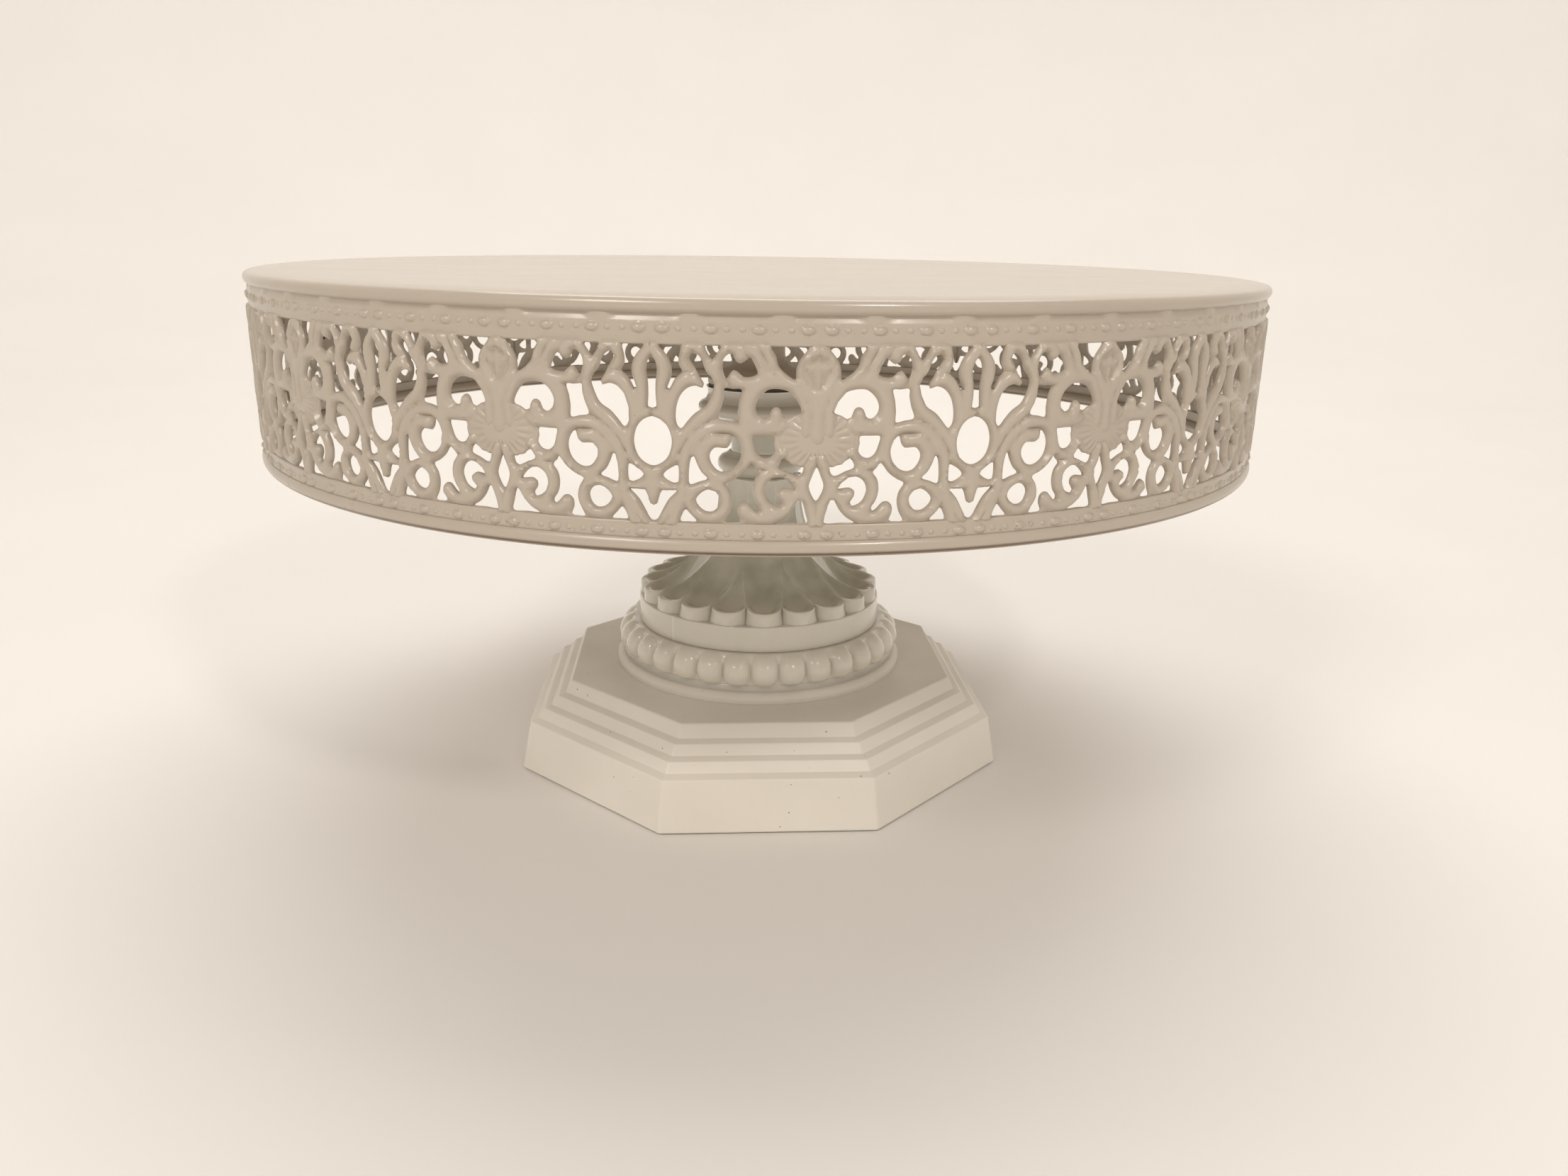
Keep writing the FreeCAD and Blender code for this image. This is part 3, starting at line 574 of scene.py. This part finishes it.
def bead_rise(u, z, level):
    """Height of the row of beads whose middles are at a level."""
    rise = np.zeros(np.shape(u))
    for arc, half_width, half_height, top in BEADS:
        away = np.hypot((u - arc) / half_width, (z - level) / half_height)
        rise = np.maximum(rise, top * np.clip(1 - (away / BEAD_EDGE) ** 2, 0, 1) ** 0.7)
    return rise


def bead_points(level):
    """Rings of points over each bead."""
    points = []
    angle = angles(BEAD_SIDES)[:, 0]
    for arc, half_width, half_height, _ in BEADS:
        points.append((arc, level))
        for share in BEAD_RINGS:
            points.extend(zip(arc + half_width * share * np.cos(angle),
                              level + half_height * share * np.sin(angle)))
    return np.array(points)


def beaded_face(low, high, level, radius_at):
    """A strip of half a repeat with its row of beads, as points (arc, radius, height) and faces."""
    across = np.linspace(0, HALF, RAIL_COLUMNS + 1)
    up = np.linspace(low, high, round((high - low) / RAIL_ROW) + 1)
    u, z = (axis.ravel() for axis in np.meshgrid(across, up))
    on_rim = (z == low) | (z == high) | (u == 0) | (u == HALF)
    clear = np.ones(len(u), bool)
    for arc, half_width, half_height, _ in BEADS:
        clear &= np.hypot((u - arc) / (half_width + 0.45), (z - level) / (half_height + 0.35)) > 1
    grid = np.stack([u, z], -1)[on_rim | clear]
    beads = bead_points(level)
    beads = beads[(beads[:, 1] > low + 0.1) & (beads[:, 1] < high - 0.1)]
    made, faces = triangulate(np.vstack([grid, beads]), [], lambda u, z: np.ones(len(u), bool))
    radius = radius_at(made[:, 1]) + bead_rise(made[:, 0], made[:, 1], level)
    return np.stack([made[:, 0], radius, made[:, 1]], -1), faces


def plain_strip(outline):
    """A strip of half a repeat along an open outline (radius, height)."""
    across = np.linspace(0, HALF, RAIL_COLUMNS + 1)
    rows = len(outline)
    points = [(u, radius, height) for u in across for radius, height in outline]
    faces = []
    for column in range(RAIL_COLUMNS):
        for row in range(rows - 1):
            first = column * rows + row
            faces.append((first, first + 1, first + rows + 1, first + rows))
    return np.array(points), faces


CRIMPS, CRIMP_START = 51, -2.6
COVE_Z, COVE_HALF_HEIGHT = 155.0, 0.95
CRIMP_DEPTH, COVE_DEPTH = 0.55, 0.1


def crimped(points):
    """The cove under the rim, filled at each crimp, pressed into points round the band."""
    angle = np.arctan2(points[:, 0], -points[:, 1])
    arc = angle * FACE_R - CRIMP_START
    spacing = 2 * math.pi * FACE_R / CRIMPS
    away = abs((arc + spacing / 2) % spacing - spacing / 2)
    radius = np.hypot(points[:, 0], points[:, 1])
    outside = radius > SHEET_R + 0.4
    cove = np.clip(1 - ((points[:, 2] - COVE_Z) / COVE_HALF_HEIGHT) ** 2, 0, 1)
    depth = CRIMP_DEPTH * cove * fade(1.2, 2.8, away) + COVE_DEPTH * cove
    scale = np.where(outside, (radius - depth) / radius, 1.0)
    return points * np.stack([scale, scale, np.ones(len(scale))], -1)


def arc_points(centre, radius, start, end, count):
    """Points (radius, height) along an arc between two angles in degrees."""
    return [(centre[0] + radius * math.cos(a), centre[1] + radius * math.sin(a))
            for a in np.linspace(math.radians(start), math.radians(end), count)]


HEM_CENTRE, HEM_RADIUS = (150.3, 107.7), 2.1
LOW_FACE_R, HIGH_FACE_R = 151.62, 151.55


def low_rail():
    """The bottom roll and the beaded strip over it."""
    low, high = 109.4, 112.4
    face = beaded_face(low, high, LOW_BEADS_Z, lambda z: np.full(len(z), LOW_FACE_R))
    edge = [(LOW_FACE_R - 0.35 * (1 - math.cos(a)), high + 0.45 * math.sin(a))
            for a in np.linspace(0, math.pi / 2, 4)]
    inner = [(SHEET_R - 0.2, high + 0.3), (SHEET_R - 0.25, low + 0.3)]
    roll = arc_points(HEM_CENTRE, HEM_RADIUS, 112, 410, 30)
    outline = edge + inner + roll + [(LOW_FACE_R - 0.1, low - 0.1), (LOW_FACE_R, low)]
    return repeat_round(*joined(face, plain_strip(outline)))


def high_rail():
    """The beaded strip under the rim and the edge turned in over it."""
    low, high = 149.75, 155.9
    turned_in_r = 149.3

    def radius_at(z):
        return HIGH_FACE_R - 0.25 * (1 - fade(150.0, 151.4, z)) - 0.12 * fade(151.4, 152.0, z)

    face = beaded_face(low, high, HIGH_BEADS_Z, radius_at)
    bottom, top = radius_at(np.array([low, high])).tolist()
    outline = [(top, high), (top - 0.5, high + 0.35), (turned_in_r, high + 0.2),
               (turned_in_r, high - 0.6), (SHEET_R - 0.2, high - 0.9), (SHEET_R - 0.2, low - 0.1),
               (SHEET_R, low - 0.45), (bottom - 0.3, low - 0.5), (bottom - 0.06, low - 0.3),
               (bottom, low)]
    points, faces = repeat_round(*joined(face, plain_strip(outline)))
    return crimped(points), faces


def lace_rails():
    """Both beaded rails of the skirt, with the bottom roll and the crimps under the rim."""
    return add_piece("lace_rails", *joined(low_rail(), high_rail()), "plate_rail", "plate", "plate_paint",
                     "lace_band", sharp=60)


# -------- the plate

RIM_FLAT_R, UNDERSIDE_R = 145.6, 145.0
RIM_ROLL, RIM_ROLL_RADIUS = (150.5, 156.9), 1.7
PLATE_SHEET, PLATE_COLUMNS = 0.9, 336


def plate_top():
    """The plate's disc with its rim rolled out, down and in over the band."""
    roll = arc_points(RIM_ROLL, RIM_ROLL_RADIUS, 62, -150, 20)
    slope = [(146.9, 158.97), (148.2, 158.86), (149.5, 158.7), (150.5, 158.57)]
    under = [(148.6, 157.4), (147.0, 158.0), (UNDERSIDE_R, PLATE_TOP - PLATE_SHEET)]
    spread = np.linspace(0, 1, 9) ** 0.7
    top = [(RIM_FLAT_R * s, PLATE_TOP) for s in spread]
    below = [(UNDERSIDE_R * s, PLATE_TOP - PLATE_SHEET) for s in spread[-2::-1]]
    points, faces = turned(np.array(top + slope + roll + under + below), PLATE_COLUMNS)
    return add_piece("plate_dish", points, faces, "plate_gloss", "plate", "plate_paint", "plate_top")


# -------- the pedestal

FOOT_SIDES = 8
HALF_SIDE = math.pi / FOOT_SIDES  # the angle from a corner to the middle of a side
DISC_R, DISC_SEAM_R, DISC_FOOT_Z, DISC_UNDER_Z, BORE_R = 49.0, 52.0, 28.8, 26.4, 8.0
# Outlines of the foot's steps and of its hollow: (corner radius of the octagon, height, rounding).
FOOT_STEPS = [(85.1, 0.4, 0.6), (82.0, 16.3, 0.9), (79.3, 17.4, 0.5), (77.1, 20.3, 0.7), (74.5, 21.0, 0.4),
              (72.2, 23.9, 0.7), (69.6, 24.6, 0.4), (67.7, 28.8, 0.8)]
FOOT_HOLLOW = [(DISC_SEAM_R, DISC_FOOT_Z, 0), (DISC_SEAM_R, DISC_UNDER_Z, 0), (64.0, 26.0, 1),
               (73.0, 17.0, 1), (79.0, 14.0, 1), (82.2, 0.4, 0.3)]
SKIRTING_Z, SKIRTING_CORNER, STEP_CORNER = 16.8, 2.0, 1.2  # corners are rounder below this height


def octagon_columns():
    """Direction of each column of points round the foot, as (corner direction, arc direction, share)."""
    columns = []
    for corner in range(FOOT_SIDES):
        middle = (2 * corner + 1) * HALF_SIDE
        for turn in np.linspace(-HALF_SIDE, HALF_SIDE, 7):
            columns.append((middle, middle + turn, 0.0))
        for share in np.linspace(0, 1, 14)[1:-1]:
            columns.append((middle, middle + HALF_SIDE, share))
    return columns


def octagon_ring(corner_radius, height, rounding):
    """Points of an octagon with rounded corners."""
    points = []
    reach = corner_radius - rounding / math.cos(HALF_SIDE)
    for middle, turn, share in octagon_columns():
        after = middle + 2 * HALF_SIDE
        here = np.array((reach * math.sin(middle), -reach * math.cos(middle)))
        there = np.array((reach * math.sin(after), -reach * math.cos(after)))
        edge = np.array((rounding * math.sin(turn), -rounding * math.cos(turn)))
        points.append((*(here * (1 - share) + there * share + edge), height))
    return points


def round_ring(radius, height):
    """A circle with as many points as the octagon, each in the direction of its own."""
    flat = np.array(octagon_ring(85.0, 0.0, SKIRTING_CORNER))
    flat /= np.hypot(flat[:, 0], flat[:, 1])[:, None]
    return [(x * radius, y * radius, height) for x, y, _ in flat]


def octagon_foot():
    """The stepped foot and its hollow, with the round disc that the column stands on."""
    outline = rounded(*FOOT_STEPS, *FOOT_HOLLOW)
    rings = [octagon_ring(r, z, SKIRTING_CORNER if z < SKIRTING_Z else STEP_CORNER) for r, z in outline]
    seam = outline[:, 0].tolist().index(DISC_SEAM_R)
    disc = rounded((DISC_R, DISC_FOOT_Z, 0.15), (DISC_R, FOOT_TOP, 2.2), (BORE_R, FOOT_TOP, 0),
                   (BORE_R, DISC_UNDER_Z, 0))
    rings[seam:seam + 1] = [round_ring(r, z) for r, z in disc]
    points = np.array(rings).transpose(1, 0, 2).reshape(-1, 3)
    faces = grid_faces(len(rings[0]), len(rings))
    return add_piece("foot_moulding", points, faces, "foot_plastic", "pedestal", "foot_plastic",
                     "octagon_foot", weighted=True)


BEADS_ROUND = 32
BEAD_CORE_R, BEAD_MIDDLE_Z, BEAD_HALF_HEIGHT, BEAD_BULGE, BEAD_LEAN = 43.9, 38.4, 5.0, 4.6, 0.16
BEAD_COLUMNS, BEAD_ROWS = 18, 30
RING_INNER_R, COLLAR_TOP, COLLAR_R = 38.0, 43.2, 40.6


def gadroon_ring():
    """The ring of egg-shaped beads, each leaning in at its top, on a low fillet."""
    columns = BEADS_ROUND * BEAD_COLUMNS
    angle = angles(columns)
    cell = 2 * math.pi / BEADS_ROUND
    aside = abs((angle + cell / 2) % cell - cell / 2) / (cell / 2)
    share = np.linspace(-1, 1, BEAD_ROWS)[None, :]
    swell = np.sqrt(1 - share ** 2)
    across = np.clip(aside / np.clip(swell, 0.05, 1) ** 0.5, 0, 1)
    bulge = BEAD_BULGE * swell * np.sqrt(1 - 0.88 * across ** 2.2)
    height = BEAD_MIDDLE_Z + BEAD_HALF_HEIGHT * share + 0 * angle
    radius = BEAD_CORE_R - BEAD_LEAN * (height - BEAD_MIDDLE_Z) - 0.35 + bulge
    foot = [(RING_INNER_R, COLLAR_TOP), (RING_INNER_R, RING_LOW), (46.4, RING_LOW), (45.2, 32.3),
            (44.6, 33.0)]
    collar = [(COLLAR_R + 1.0, COLLAR_TOP - 0.1), (COLLAR_R, COLLAR_TOP)]
    before, after = (np.repeat(np.array(part)[None], columns, 0) for part in (foot, collar))
    radius = np.hstack([before[:, :, 0], radius, after[:, :, 0]])
    height = np.hstack([before[:, :, 1], height, after[:, :, 1]])
    points = ring_points(angle, radius, height)
    return add_piece("bead_ring", points, grid_faces(columns, radius.shape[1]), "bead_plastic", "pedestal",
                     "column_plastic", "gadroon_ring", sharp=70)


LEAVES, FLUTES = 20, 10
DRUM_TOP, DRUM_SOCKET_R, BORE_TOP_R = 51.6, 38.5, 9.0
FLARE_CENTRE_R, FLARE_CENTRE_Z, FLARE_RADIUS = 44.0, 85.4, 30.0
TIP_R, ROOT_R, NOTCH_DEPTH = 40.5, 40.7, 6.0
TAPER_END_R, TAPER_START_R = 20.5, 35.0
COLUMN_EDGE_R = 14.0


def leaf_half_angle(broad, radius):
    """Half the angle a leaf takes up: every other one narrows to nothing as it runs up the flare."""
    part = np.clip((radius - TAPER_END_R) / (TAPER_START_R - TAPER_END_R), 0, 1) ** 0.8
    narrow = math.pi / LEAVES * part
    return np.where(broad, math.pi / FLUTES - narrow, narrow)


def leaf_column():
    """The drum, the ring of spoon-shaped leaves on it, and the fluted column that they run up into."""
    across = np.sin(np.linspace(-1, 1, 25)[:-1] * math.pi / 2)
    side = np.tile(across, LEAVES)[:, None]
    leaf = np.repeat(np.arange(LEAVES), len(across))[:, None]
    middle = leaf * 2 * math.pi / LEAVES
    broad = leaf % 2 == 0
    drum = rounded((BORE_TOP_R, DRUM_LOW, 0), (DRUM_SOCKET_R, DRUM_LOW, 0), (DRUM_SOCKET_R, COLLAR_TOP, 0),
                   (DRUM_R, COLLAR_TOP, 0.3), (DRUM_R, DRUM_TOP, 0.45), (BORE_TOP_R, DRUM_TOP, 0))[:-1]
    notch = 1 - np.sqrt(1 - 0.96 * side ** 2)
    tip = TIP_R - NOTCH_DEPTH * notch
    root = ROOT_R - 0.55 * NOTCH_DEPTH * notch
    start = np.arccos((FLARE_CENTRE_R - tip + 0.5) / FLARE_RADIUS)
    sweep = start * (1 - np.linspace(0, 1, 44)[None, :] ** 1.25)
    travelled = (start - sweep) * FLARE_RADIUS
    flare_r = FLARE_CENTRE_R - FLARE_RADIUS * np.cos(sweep)
    flare_z = FLARE_CENTRE_Z - FLARE_RADIUS * np.sin(sweep)
    half_angle = leaf_half_angle(broad, flare_r)
    width = np.clip(half_angle * LEAVES / math.pi, 0, 1)
    hollow = (1.0 + 2.1 * fade(18, 35, flare_r)) * width
    trough = 1 - abs(side) ** 3
    depth = hollow * trough * fade(0.45, 5.5, travelled)
    flare_r = flare_r - depth * np.cos(sweep)
    flare_z = flare_z - depth * np.sin(sweep)
    full = np.ones_like(tip)
    wall = [(root, DRUM_TOP * full), (0.6 * root + 0.4 * tip, 53.0 * full),
            (tip + 0.15, flare_z[:, :1] - 1.0), (tip + 0.05, flare_z[:, :1] - 0.3),
            (tip - 0.2, flare_z[:, :1] + 0.02)]
    edge_r = COLUMN_EDGE_R - trough * broad
    top = [(edge_r, (COLUMN_TOP - 0.3) * full), (edge_r - 0.6, COLUMN_TOP * full),
           (BORE_TOP_R * full, COLUMN_TOP * full)]
    low_part = np.repeat(drum[None], len(side), 0)
    radius = np.hstack([low_part[:, :, 0], *[r for r, _ in wall], flare_r, *[r for r, _ in top]])
    height = np.hstack([low_part[:, :, 1], *[z for _, z in wall], flare_z, *[z for _, z in top]])
    low_angle = np.repeat(math.pi / LEAVES * full, len(drum) + len(wall), 1)
    top_angle = np.repeat(leaf_half_angle(broad, 0.0), len(top), 1)
    angle = middle + side * np.hstack([low_angle, half_angle, top_angle])
    points = ring_points(angle, radius, height)
    return add_piece("leaf_moulding", points, grid_faces(len(side), radius.shape[1]), "leaf_plastic",
                     "pedestal", "column_plastic", "leaf_column", sharp=55)


# -------- materials

COLOUR_A, COLOUR_B, COLOUR_OUT = 6, 7, 2  # the sockets of a node that mixes colours


class Nodes:
    """Short calls for building one material's nodes."""

    def __init__(self, name):
        self.material = bpy.data.materials.new(name)
        self.material.use_nodes = True
        self.tree = self.material.node_tree
        self.place = self.add("ShaderNodeTexCoord").outputs["Object"]

    def feed(self, node, socket, value):
        """Gives a node's socket a constant, or a link from another node's output."""
        if isinstance(value, bpy.types.NodeSocket):
            self.tree.links.new(value, node.inputs[socket])
        else:
            node.inputs[socket].default_value = value

    def add(self, kind, *inputs, **settings):
        """A new node with some settings, and inputs as (socket, value)."""
        node = self.tree.nodes.new(kind)
        for name, value in settings.items():
            setattr(node, name, value)
        for socket, value in inputs:
            self.feed(node, socket, value)
        return node

    def shade(self, **values):
        """Sets the shader's inputs, named as words joined by underscores."""
        for name, value in values.items():
            self.feed(self.tree.nodes["Principled BSDF"], name.replace("_", " ").title(), value)

    def noise(self, scale, detail=4.0, rough=0.5):
        """Noise with lumps about one scale-th of a metre across."""
        return self.add("ShaderNodeTexNoise", ("Vector", self.place), ("Scale", scale),
                        ("Detail", detail), ("Roughness", rough)).outputs["Fac"]

    def ramp(self, value, *stops):
        """A colour ramp between two stops (position, colour)."""
        node = self.add("ShaderNodeValToRGB", ("Fac", value))
        for element, (position, colour) in zip(node.color_ramp.elements, stops):
            element.position = position
            element.color = (*colour, 1)
        return node.outputs["Color"]

    def range(self, value, low, high, to_low, to_high):
        """A value between low and high, brought between to_low and to_high."""
        return self.add("ShaderNodeMapRange", ("Value", value), ("From Min", low), ("From Max", high),
                        ("To Min", to_low), ("To Max", to_high)).outputs["Result"]

    def mix(self, share, first, second):
        """A share of a second colour, an output or three numbers, over a first one."""
        if isinstance(second, tuple):
            second = (*second, 1)
        return self.add("ShaderNodeMix", ("Factor", share), (COLOUR_A, first), (COLOUR_B, second),
                        data_type="RGBA").outputs[COLOUR_OUT]

    def math(self, operation, first, second):
        """Arithmetic on two values, each an output or a number."""
        return self.add("ShaderNodeMath", (0, first), (1, second), operation=operation).outputs[0]

    def level(self):
        """Height over the table, in metres."""
        return self.add("ShaderNodeSeparateXYZ", ("Vector", self.place)).outputs["Z"]

    def band(self, value, middle, reach):
        """1 at a value, falling to 0 at reach from it."""
        away = self.math("ABSOLUTE", self.math("SUBTRACT", value, middle), 0.0)
        return self.range(away, 0.0, reach, 1.0, 0.0)

    def pointed(self):
        """0.5 on flat metal, more on its edges and less in its creases."""
        return self.add("ShaderNodeNewGeometry").outputs["Pointiness"]

    def bump(self, value, height):
        """Relief of so many metres from a value of 0 to 1."""
        return self.add("ShaderNodeBump", ("Height", value), ("Strength", 1.0),
                        ("Distance", height)).outputs["Normal"]


def paint(name, roughness, coat, chipped_levels=(), seam=None):
    """Cream paint on steel with painted shade in its creases, brown chips at some levels and a rusty seam.
    """
    n = Nodes(name)
    mottle = n.ramp(n.noise(22, 5), (0.3, (0.475, 0.415, 0.345)), (0.7, (0.495, 0.435, 0.36)))
    # painted shade: the paint is darkened towards brown where the metal is creased
    crease_shade = n.range(n.pointed(), 0.4, 0.492, 1.0, 0.0)
    colour = n.mix(n.math("MULTIPLY", crease_shade, 0.7), mottle, (0.33, 0.265, 0.19))
    speck = n.range(n.noise(1300, 1), 0.80, 0.82, 0.0, 0.7)
    colour = n.mix(speck, colour, (0.2, 0.15, 0.1))
    for level, reach, amount in chipped_levels:
        where = n.math("MULTIPLY", n.band(n.level(), level * MM, reach * MM), amount)
        patch = n.range(n.noise(600, 3, 0.6), 0.66, 0.69, 0.0, 1.0)
        colour = n.mix(n.math("MULTIPLY", where, patch), colour, (0.13, 0.085, 0.05))
    if seam is not None:
        line = n.math("MULTIPLY", n.band(n.level(), seam * MM, 0.6 * MM), 1.2)
        colour = n.mix(line, colour, (0.16, 0.1, 0.06))
    n.shade(base_color=colour, roughness=n.range(n.noise(60, 4), 0.3, 0.7, *roughness),
            coat_weight=coat, coat_roughness=0.14)
    return n.material


def foot_plastic():
    """Satin moulded plastic, warm white, with fine specks and faint flow marks."""
    n = Nodes("foot_plastic")
    cloud = n.ramp(n.noise(14, 3), (0.35, (0.80, 0.755, 0.68)), (0.65, (0.85, 0.81, 0.735)))
    speck = n.range(n.noise(700, 1), 0.80, 0.81, 0.0, 0.8)
    colour = n.mix(speck, cloud, (0.16, 0.12, 0.09))
    n.shade(base_color=colour, roughness=n.range(n.noise(90, 4), 0.3, 0.7, 0.36, 0.5),
            normal=n.bump(n.noise(1400, 3), 0.000012),
            subsurface_weight=0.12, subsurface_radius=(1.0, 0.7, 0.45), subsurface_scale=0.002)
    return n.material


def column_plastic(name, dark, light, hollows=0.0):
    """Glossy plastic that lets a little light in, with a painted highlight on its edges; above the leaf
    tips a greener tint, darkened as painted shade in the leaves' hollows.
    """
    n = Nodes(name)
    colour = n.ramp(n.noise(40, 4), (0.3, dark), (0.7, light))
    if hollows:
        # over the leaf tips the green is partly the plastic's own tint and partly painted shade in the
        # hollows
        over_tips = n.range(n.level(), 0.0545, 0.0575, 0.0, hollows)
        hollow = n.ramp(n.noise(110, 2), (0.38, (0.50, 0.505, 0.41)), (0.62, (0.66, 0.65, 0.565)))
        colour = n.mix(over_tips, colour, hollow)
    # painted highlight: edges are lightened towards a pale cream
    ridge_highlight = n.range(n.pointed(), 0.505, 0.56, 0.0, 1.0)
    colour = n.mix(n.math("MULTIPLY", ridge_highlight, 0.85), colour, (0.86, 0.83, 0.74))
    n.shade(base_color=colour, roughness=n.range(n.noise(70, 4), 0.3, 0.7, 0.16, 0.26),
            normal=n.bump(n.noise(160, 3), 0.00003), coat_weight=0.5, coat_roughness=0.06,
            subsurface_weight=0.3, subsurface_radius=(1.0, 0.95, 0.75), subsurface_scale=0.002)
    return n.material


def metal(name, dark, light, rough, scale):
    """Bare or plated metal with fine streaks."""
    n = Nodes(name)
    n.shade(base_color=n.ramp(n.noise(scale, 6, 0.65), (0.3, dark), (0.7, light)),
            roughness=n.range(n.noise(scale * 3, 4), 0.3, 0.7, rough - 0.08, rough + 0.1),
            normal=n.bump(n.noise(scale * 5, 4), 0.00002), metallic=1.0)
    return n.material


def dull(name, dark, light, rough, scale, relief_height):
    """A dull grainy material: rubber, foam, bare moulding or cast iron paint."""
    n = Nodes(name)
    n.shade(base_color=n.ramp(n.noise(scale, 5, 0.6), (0.3, dark), (0.7, light)),
            roughness=n.range(n.noise(scale * 2, 3), 0.3, 0.7, rough - 0.06, rough + 0.06),
            normal=n.bump(n.noise(scale * 4, 4), relief_height))
    return n.material


def plain_name(material):
    """A material's name without the number that Blender adds to a name already in use."""
    return material.name.split(".")[0]


MATERIALS = {plain_name(material): material for material in (
    paint("plate_paint", (0.3, 0.42), 0.2),
    paint("plate_gloss", (0.22, 0.25), 0.15),
    paint("plate_rail", (0.27, 0.36), 0.25, [(110.6, 1.3, 0.6), (106.6, 0.5, 1.4)], 106.5),
    foot_plastic(),
    # One moulded plastic in three tones: palest on the beads, darker on the leaves, darkest on the column
    # under the plate; the differences are painted light and shade
    column_plastic("column_plastic", (0.60, 0.58, 0.50), (0.68, 0.655, 0.58)),
    column_plastic("leaf_plastic", (0.72, 0.69, 0.61), (0.78, 0.75, 0.67), 0.85),
    column_plastic("bead_plastic", (0.80, 0.76, 0.68), (0.85, 0.81, 0.73)),
    metal("wire_steel", (0.42, 0.41, 0.4), (0.55, 0.54, 0.53), 0.35, 300),
    metal("zinc_steel", (0.5, 0.5, 0.48), (0.68, 0.68, 0.66), 0.3, 400),
    dull("gasket_rubber", (0.07, 0.06, 0.05), (0.1, 0.088, 0.075), 0.7, 500, 0.00003),
    dull("cover_plastic", (0.62, 0.59, 0.53), (0.69, 0.66, 0.6), 0.5, 200, 0.00003),
    dull("ballast_iron", (0.05, 0.05, 0.052), (0.09, 0.088, 0.085), 0.65, 160, 0.0001),
    dull("pad_foam", (0.45, 0.44, 0.42), (0.56, 0.55, 0.53), 0.9, 900, 0.00006),
)}


def dress_cad_nodes():
    """The CAD nodes that stay in view take the material of their slot."""
    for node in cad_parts.values():
        for slot in node.material_slots:
            slot.material = MATERIALS[plain_name(slot.material)]


# -------- studio

# The studio's lengths are in metres and its angles in radians.
CAMERA_AT = (-0.0176, -0.3874, 0.1725)
CAMERA_YAW, CAMERA_PITCH, CAMERA_ROLL = 0.06775, 0.30116, -0.01634
CAMERA_LENS = 26.852


FLOOR_R, WALL_BEND, WALL_TOP = 1.1, 0.9, 2.2
FLOOR_COLUMNS = 96


def studio_floor():
    """A pale floor that curves up into a wall all round, far outside the stand."""
    profile = [(0.0, 0.0), (0.5, 0.0), (FLOOR_R, 0.0)]
    profile += [(FLOOR_R + WALL_BEND * math.sin(a), WALL_BEND - WALL_BEND * math.cos(a))
                for a in np.linspace(0, math.pi / 2, 16)[1:]]
    profile.append((FLOOR_R + WALL_BEND, WALL_TOP))
    rows = len(profile)
    points, faces = turned(np.array(profile), FLOOR_COLUMNS)
    mesh = bpy.data.meshes.new("floor")
    mesh.from_pydata(points.tolist(), [], [face for i, face in enumerate(faces) if i % rows != rows - 1])
    mesh.shade_smooth()
    n = Nodes("floor")
    colour = n.ramp(n.noise(6, 3), (0.3, (0.815, 0.79, 0.755)), (0.7, (0.83, 0.805, 0.77)))
    n.shade(base_color=colour, roughness=0.8)
    mesh.materials.append(n.material)
    floor = new_object("floor", mesh)


def softbox(name, place, aim, size, watts, colour):
    """A soft rectangular light at a place, turned towards a point."""
    data = bpy.data.lights.new(name, "AREA")
    data.shape = "RECTANGLE"
    data.size, data.size_y = size
    data.energy = watts
    data.color = colour
    light = new_object(name, data)
    light.location = place
    light.rotation_mode = "QUATERNION"
    light.rotation_quaternion = (Vector(aim) - Vector(place)).to_track_quat("-Z", "Y")
    light.visible_camera = False


KEY_COLOUR = (1.0, 0.945, 0.885)


def studio_light():
    """A broad panel over the far side, a small key in front, a smaller light for the gloss, a dim sky."""
    softbox("back_panel", (0.1, 0.9, 1.9), (0, 0.45, 0), (2.2, 1.4), 30, (1.0, 0.955, 0.905))
    softbox("front_key", (-0.55, -0.8, 0.85), (0, 0, 0.06), (0.3, 0.3), 4.0, KEY_COLOUR)
    softbox("sparkle", (0.3, -0.75, 0.7), (0, 0, 0.04), (0.1, 0.1), 2.0, KEY_COLOUR)
    world = bpy.data.worlds.new("studio")
    world.use_nodes = True
    background = world.node_tree.nodes["Background"]
    background.inputs["Color"].default_value = (1.0, 0.955, 0.91, 1)
    background.inputs["Strength"].default_value = 0.22
    bpy.context.scene.world = world
    bpy.context.scene.view_settings.view_transform = "Standard"


def camera():
    """The viewing angle: just over the plate, looking down at the stand."""
    forward = Vector((math.sin(CAMERA_YAW) * math.cos(CAMERA_PITCH),
                      math.cos(CAMERA_YAW) * math.cos(CAMERA_PITCH), -math.sin(CAMERA_PITCH)))
    level = Vector((math.cos(CAMERA_YAW), -math.sin(CAMERA_YAW), 0.0))
    down = forward.cross(level)
    right = level * math.cos(CAMERA_ROLL) + down * math.sin(CAMERA_ROLL)
    down = -level * math.sin(CAMERA_ROLL) + down * math.cos(CAMERA_ROLL)
    data = bpy.data.cameras.new("camera")
    data.sensor_width = 36.0
    data.lens = CAMERA_LENS
    data.clip_start = 0.01
    view = new_object("camera", data)
    axes = Matrix((right, -down, -forward)).transposed().to_4x4()
    view.matrix_world = Matrix.Translation(CAMERA_AT) @ axes
    bpy.context.scene.camera = view


dress_cad_nodes()
lace_openwork()
lace_shells()
lace_rails()
plate_top()
octagon_foot()
gadroon_ring()
leaf_column()
studio_floor()
studio_light()
camera()
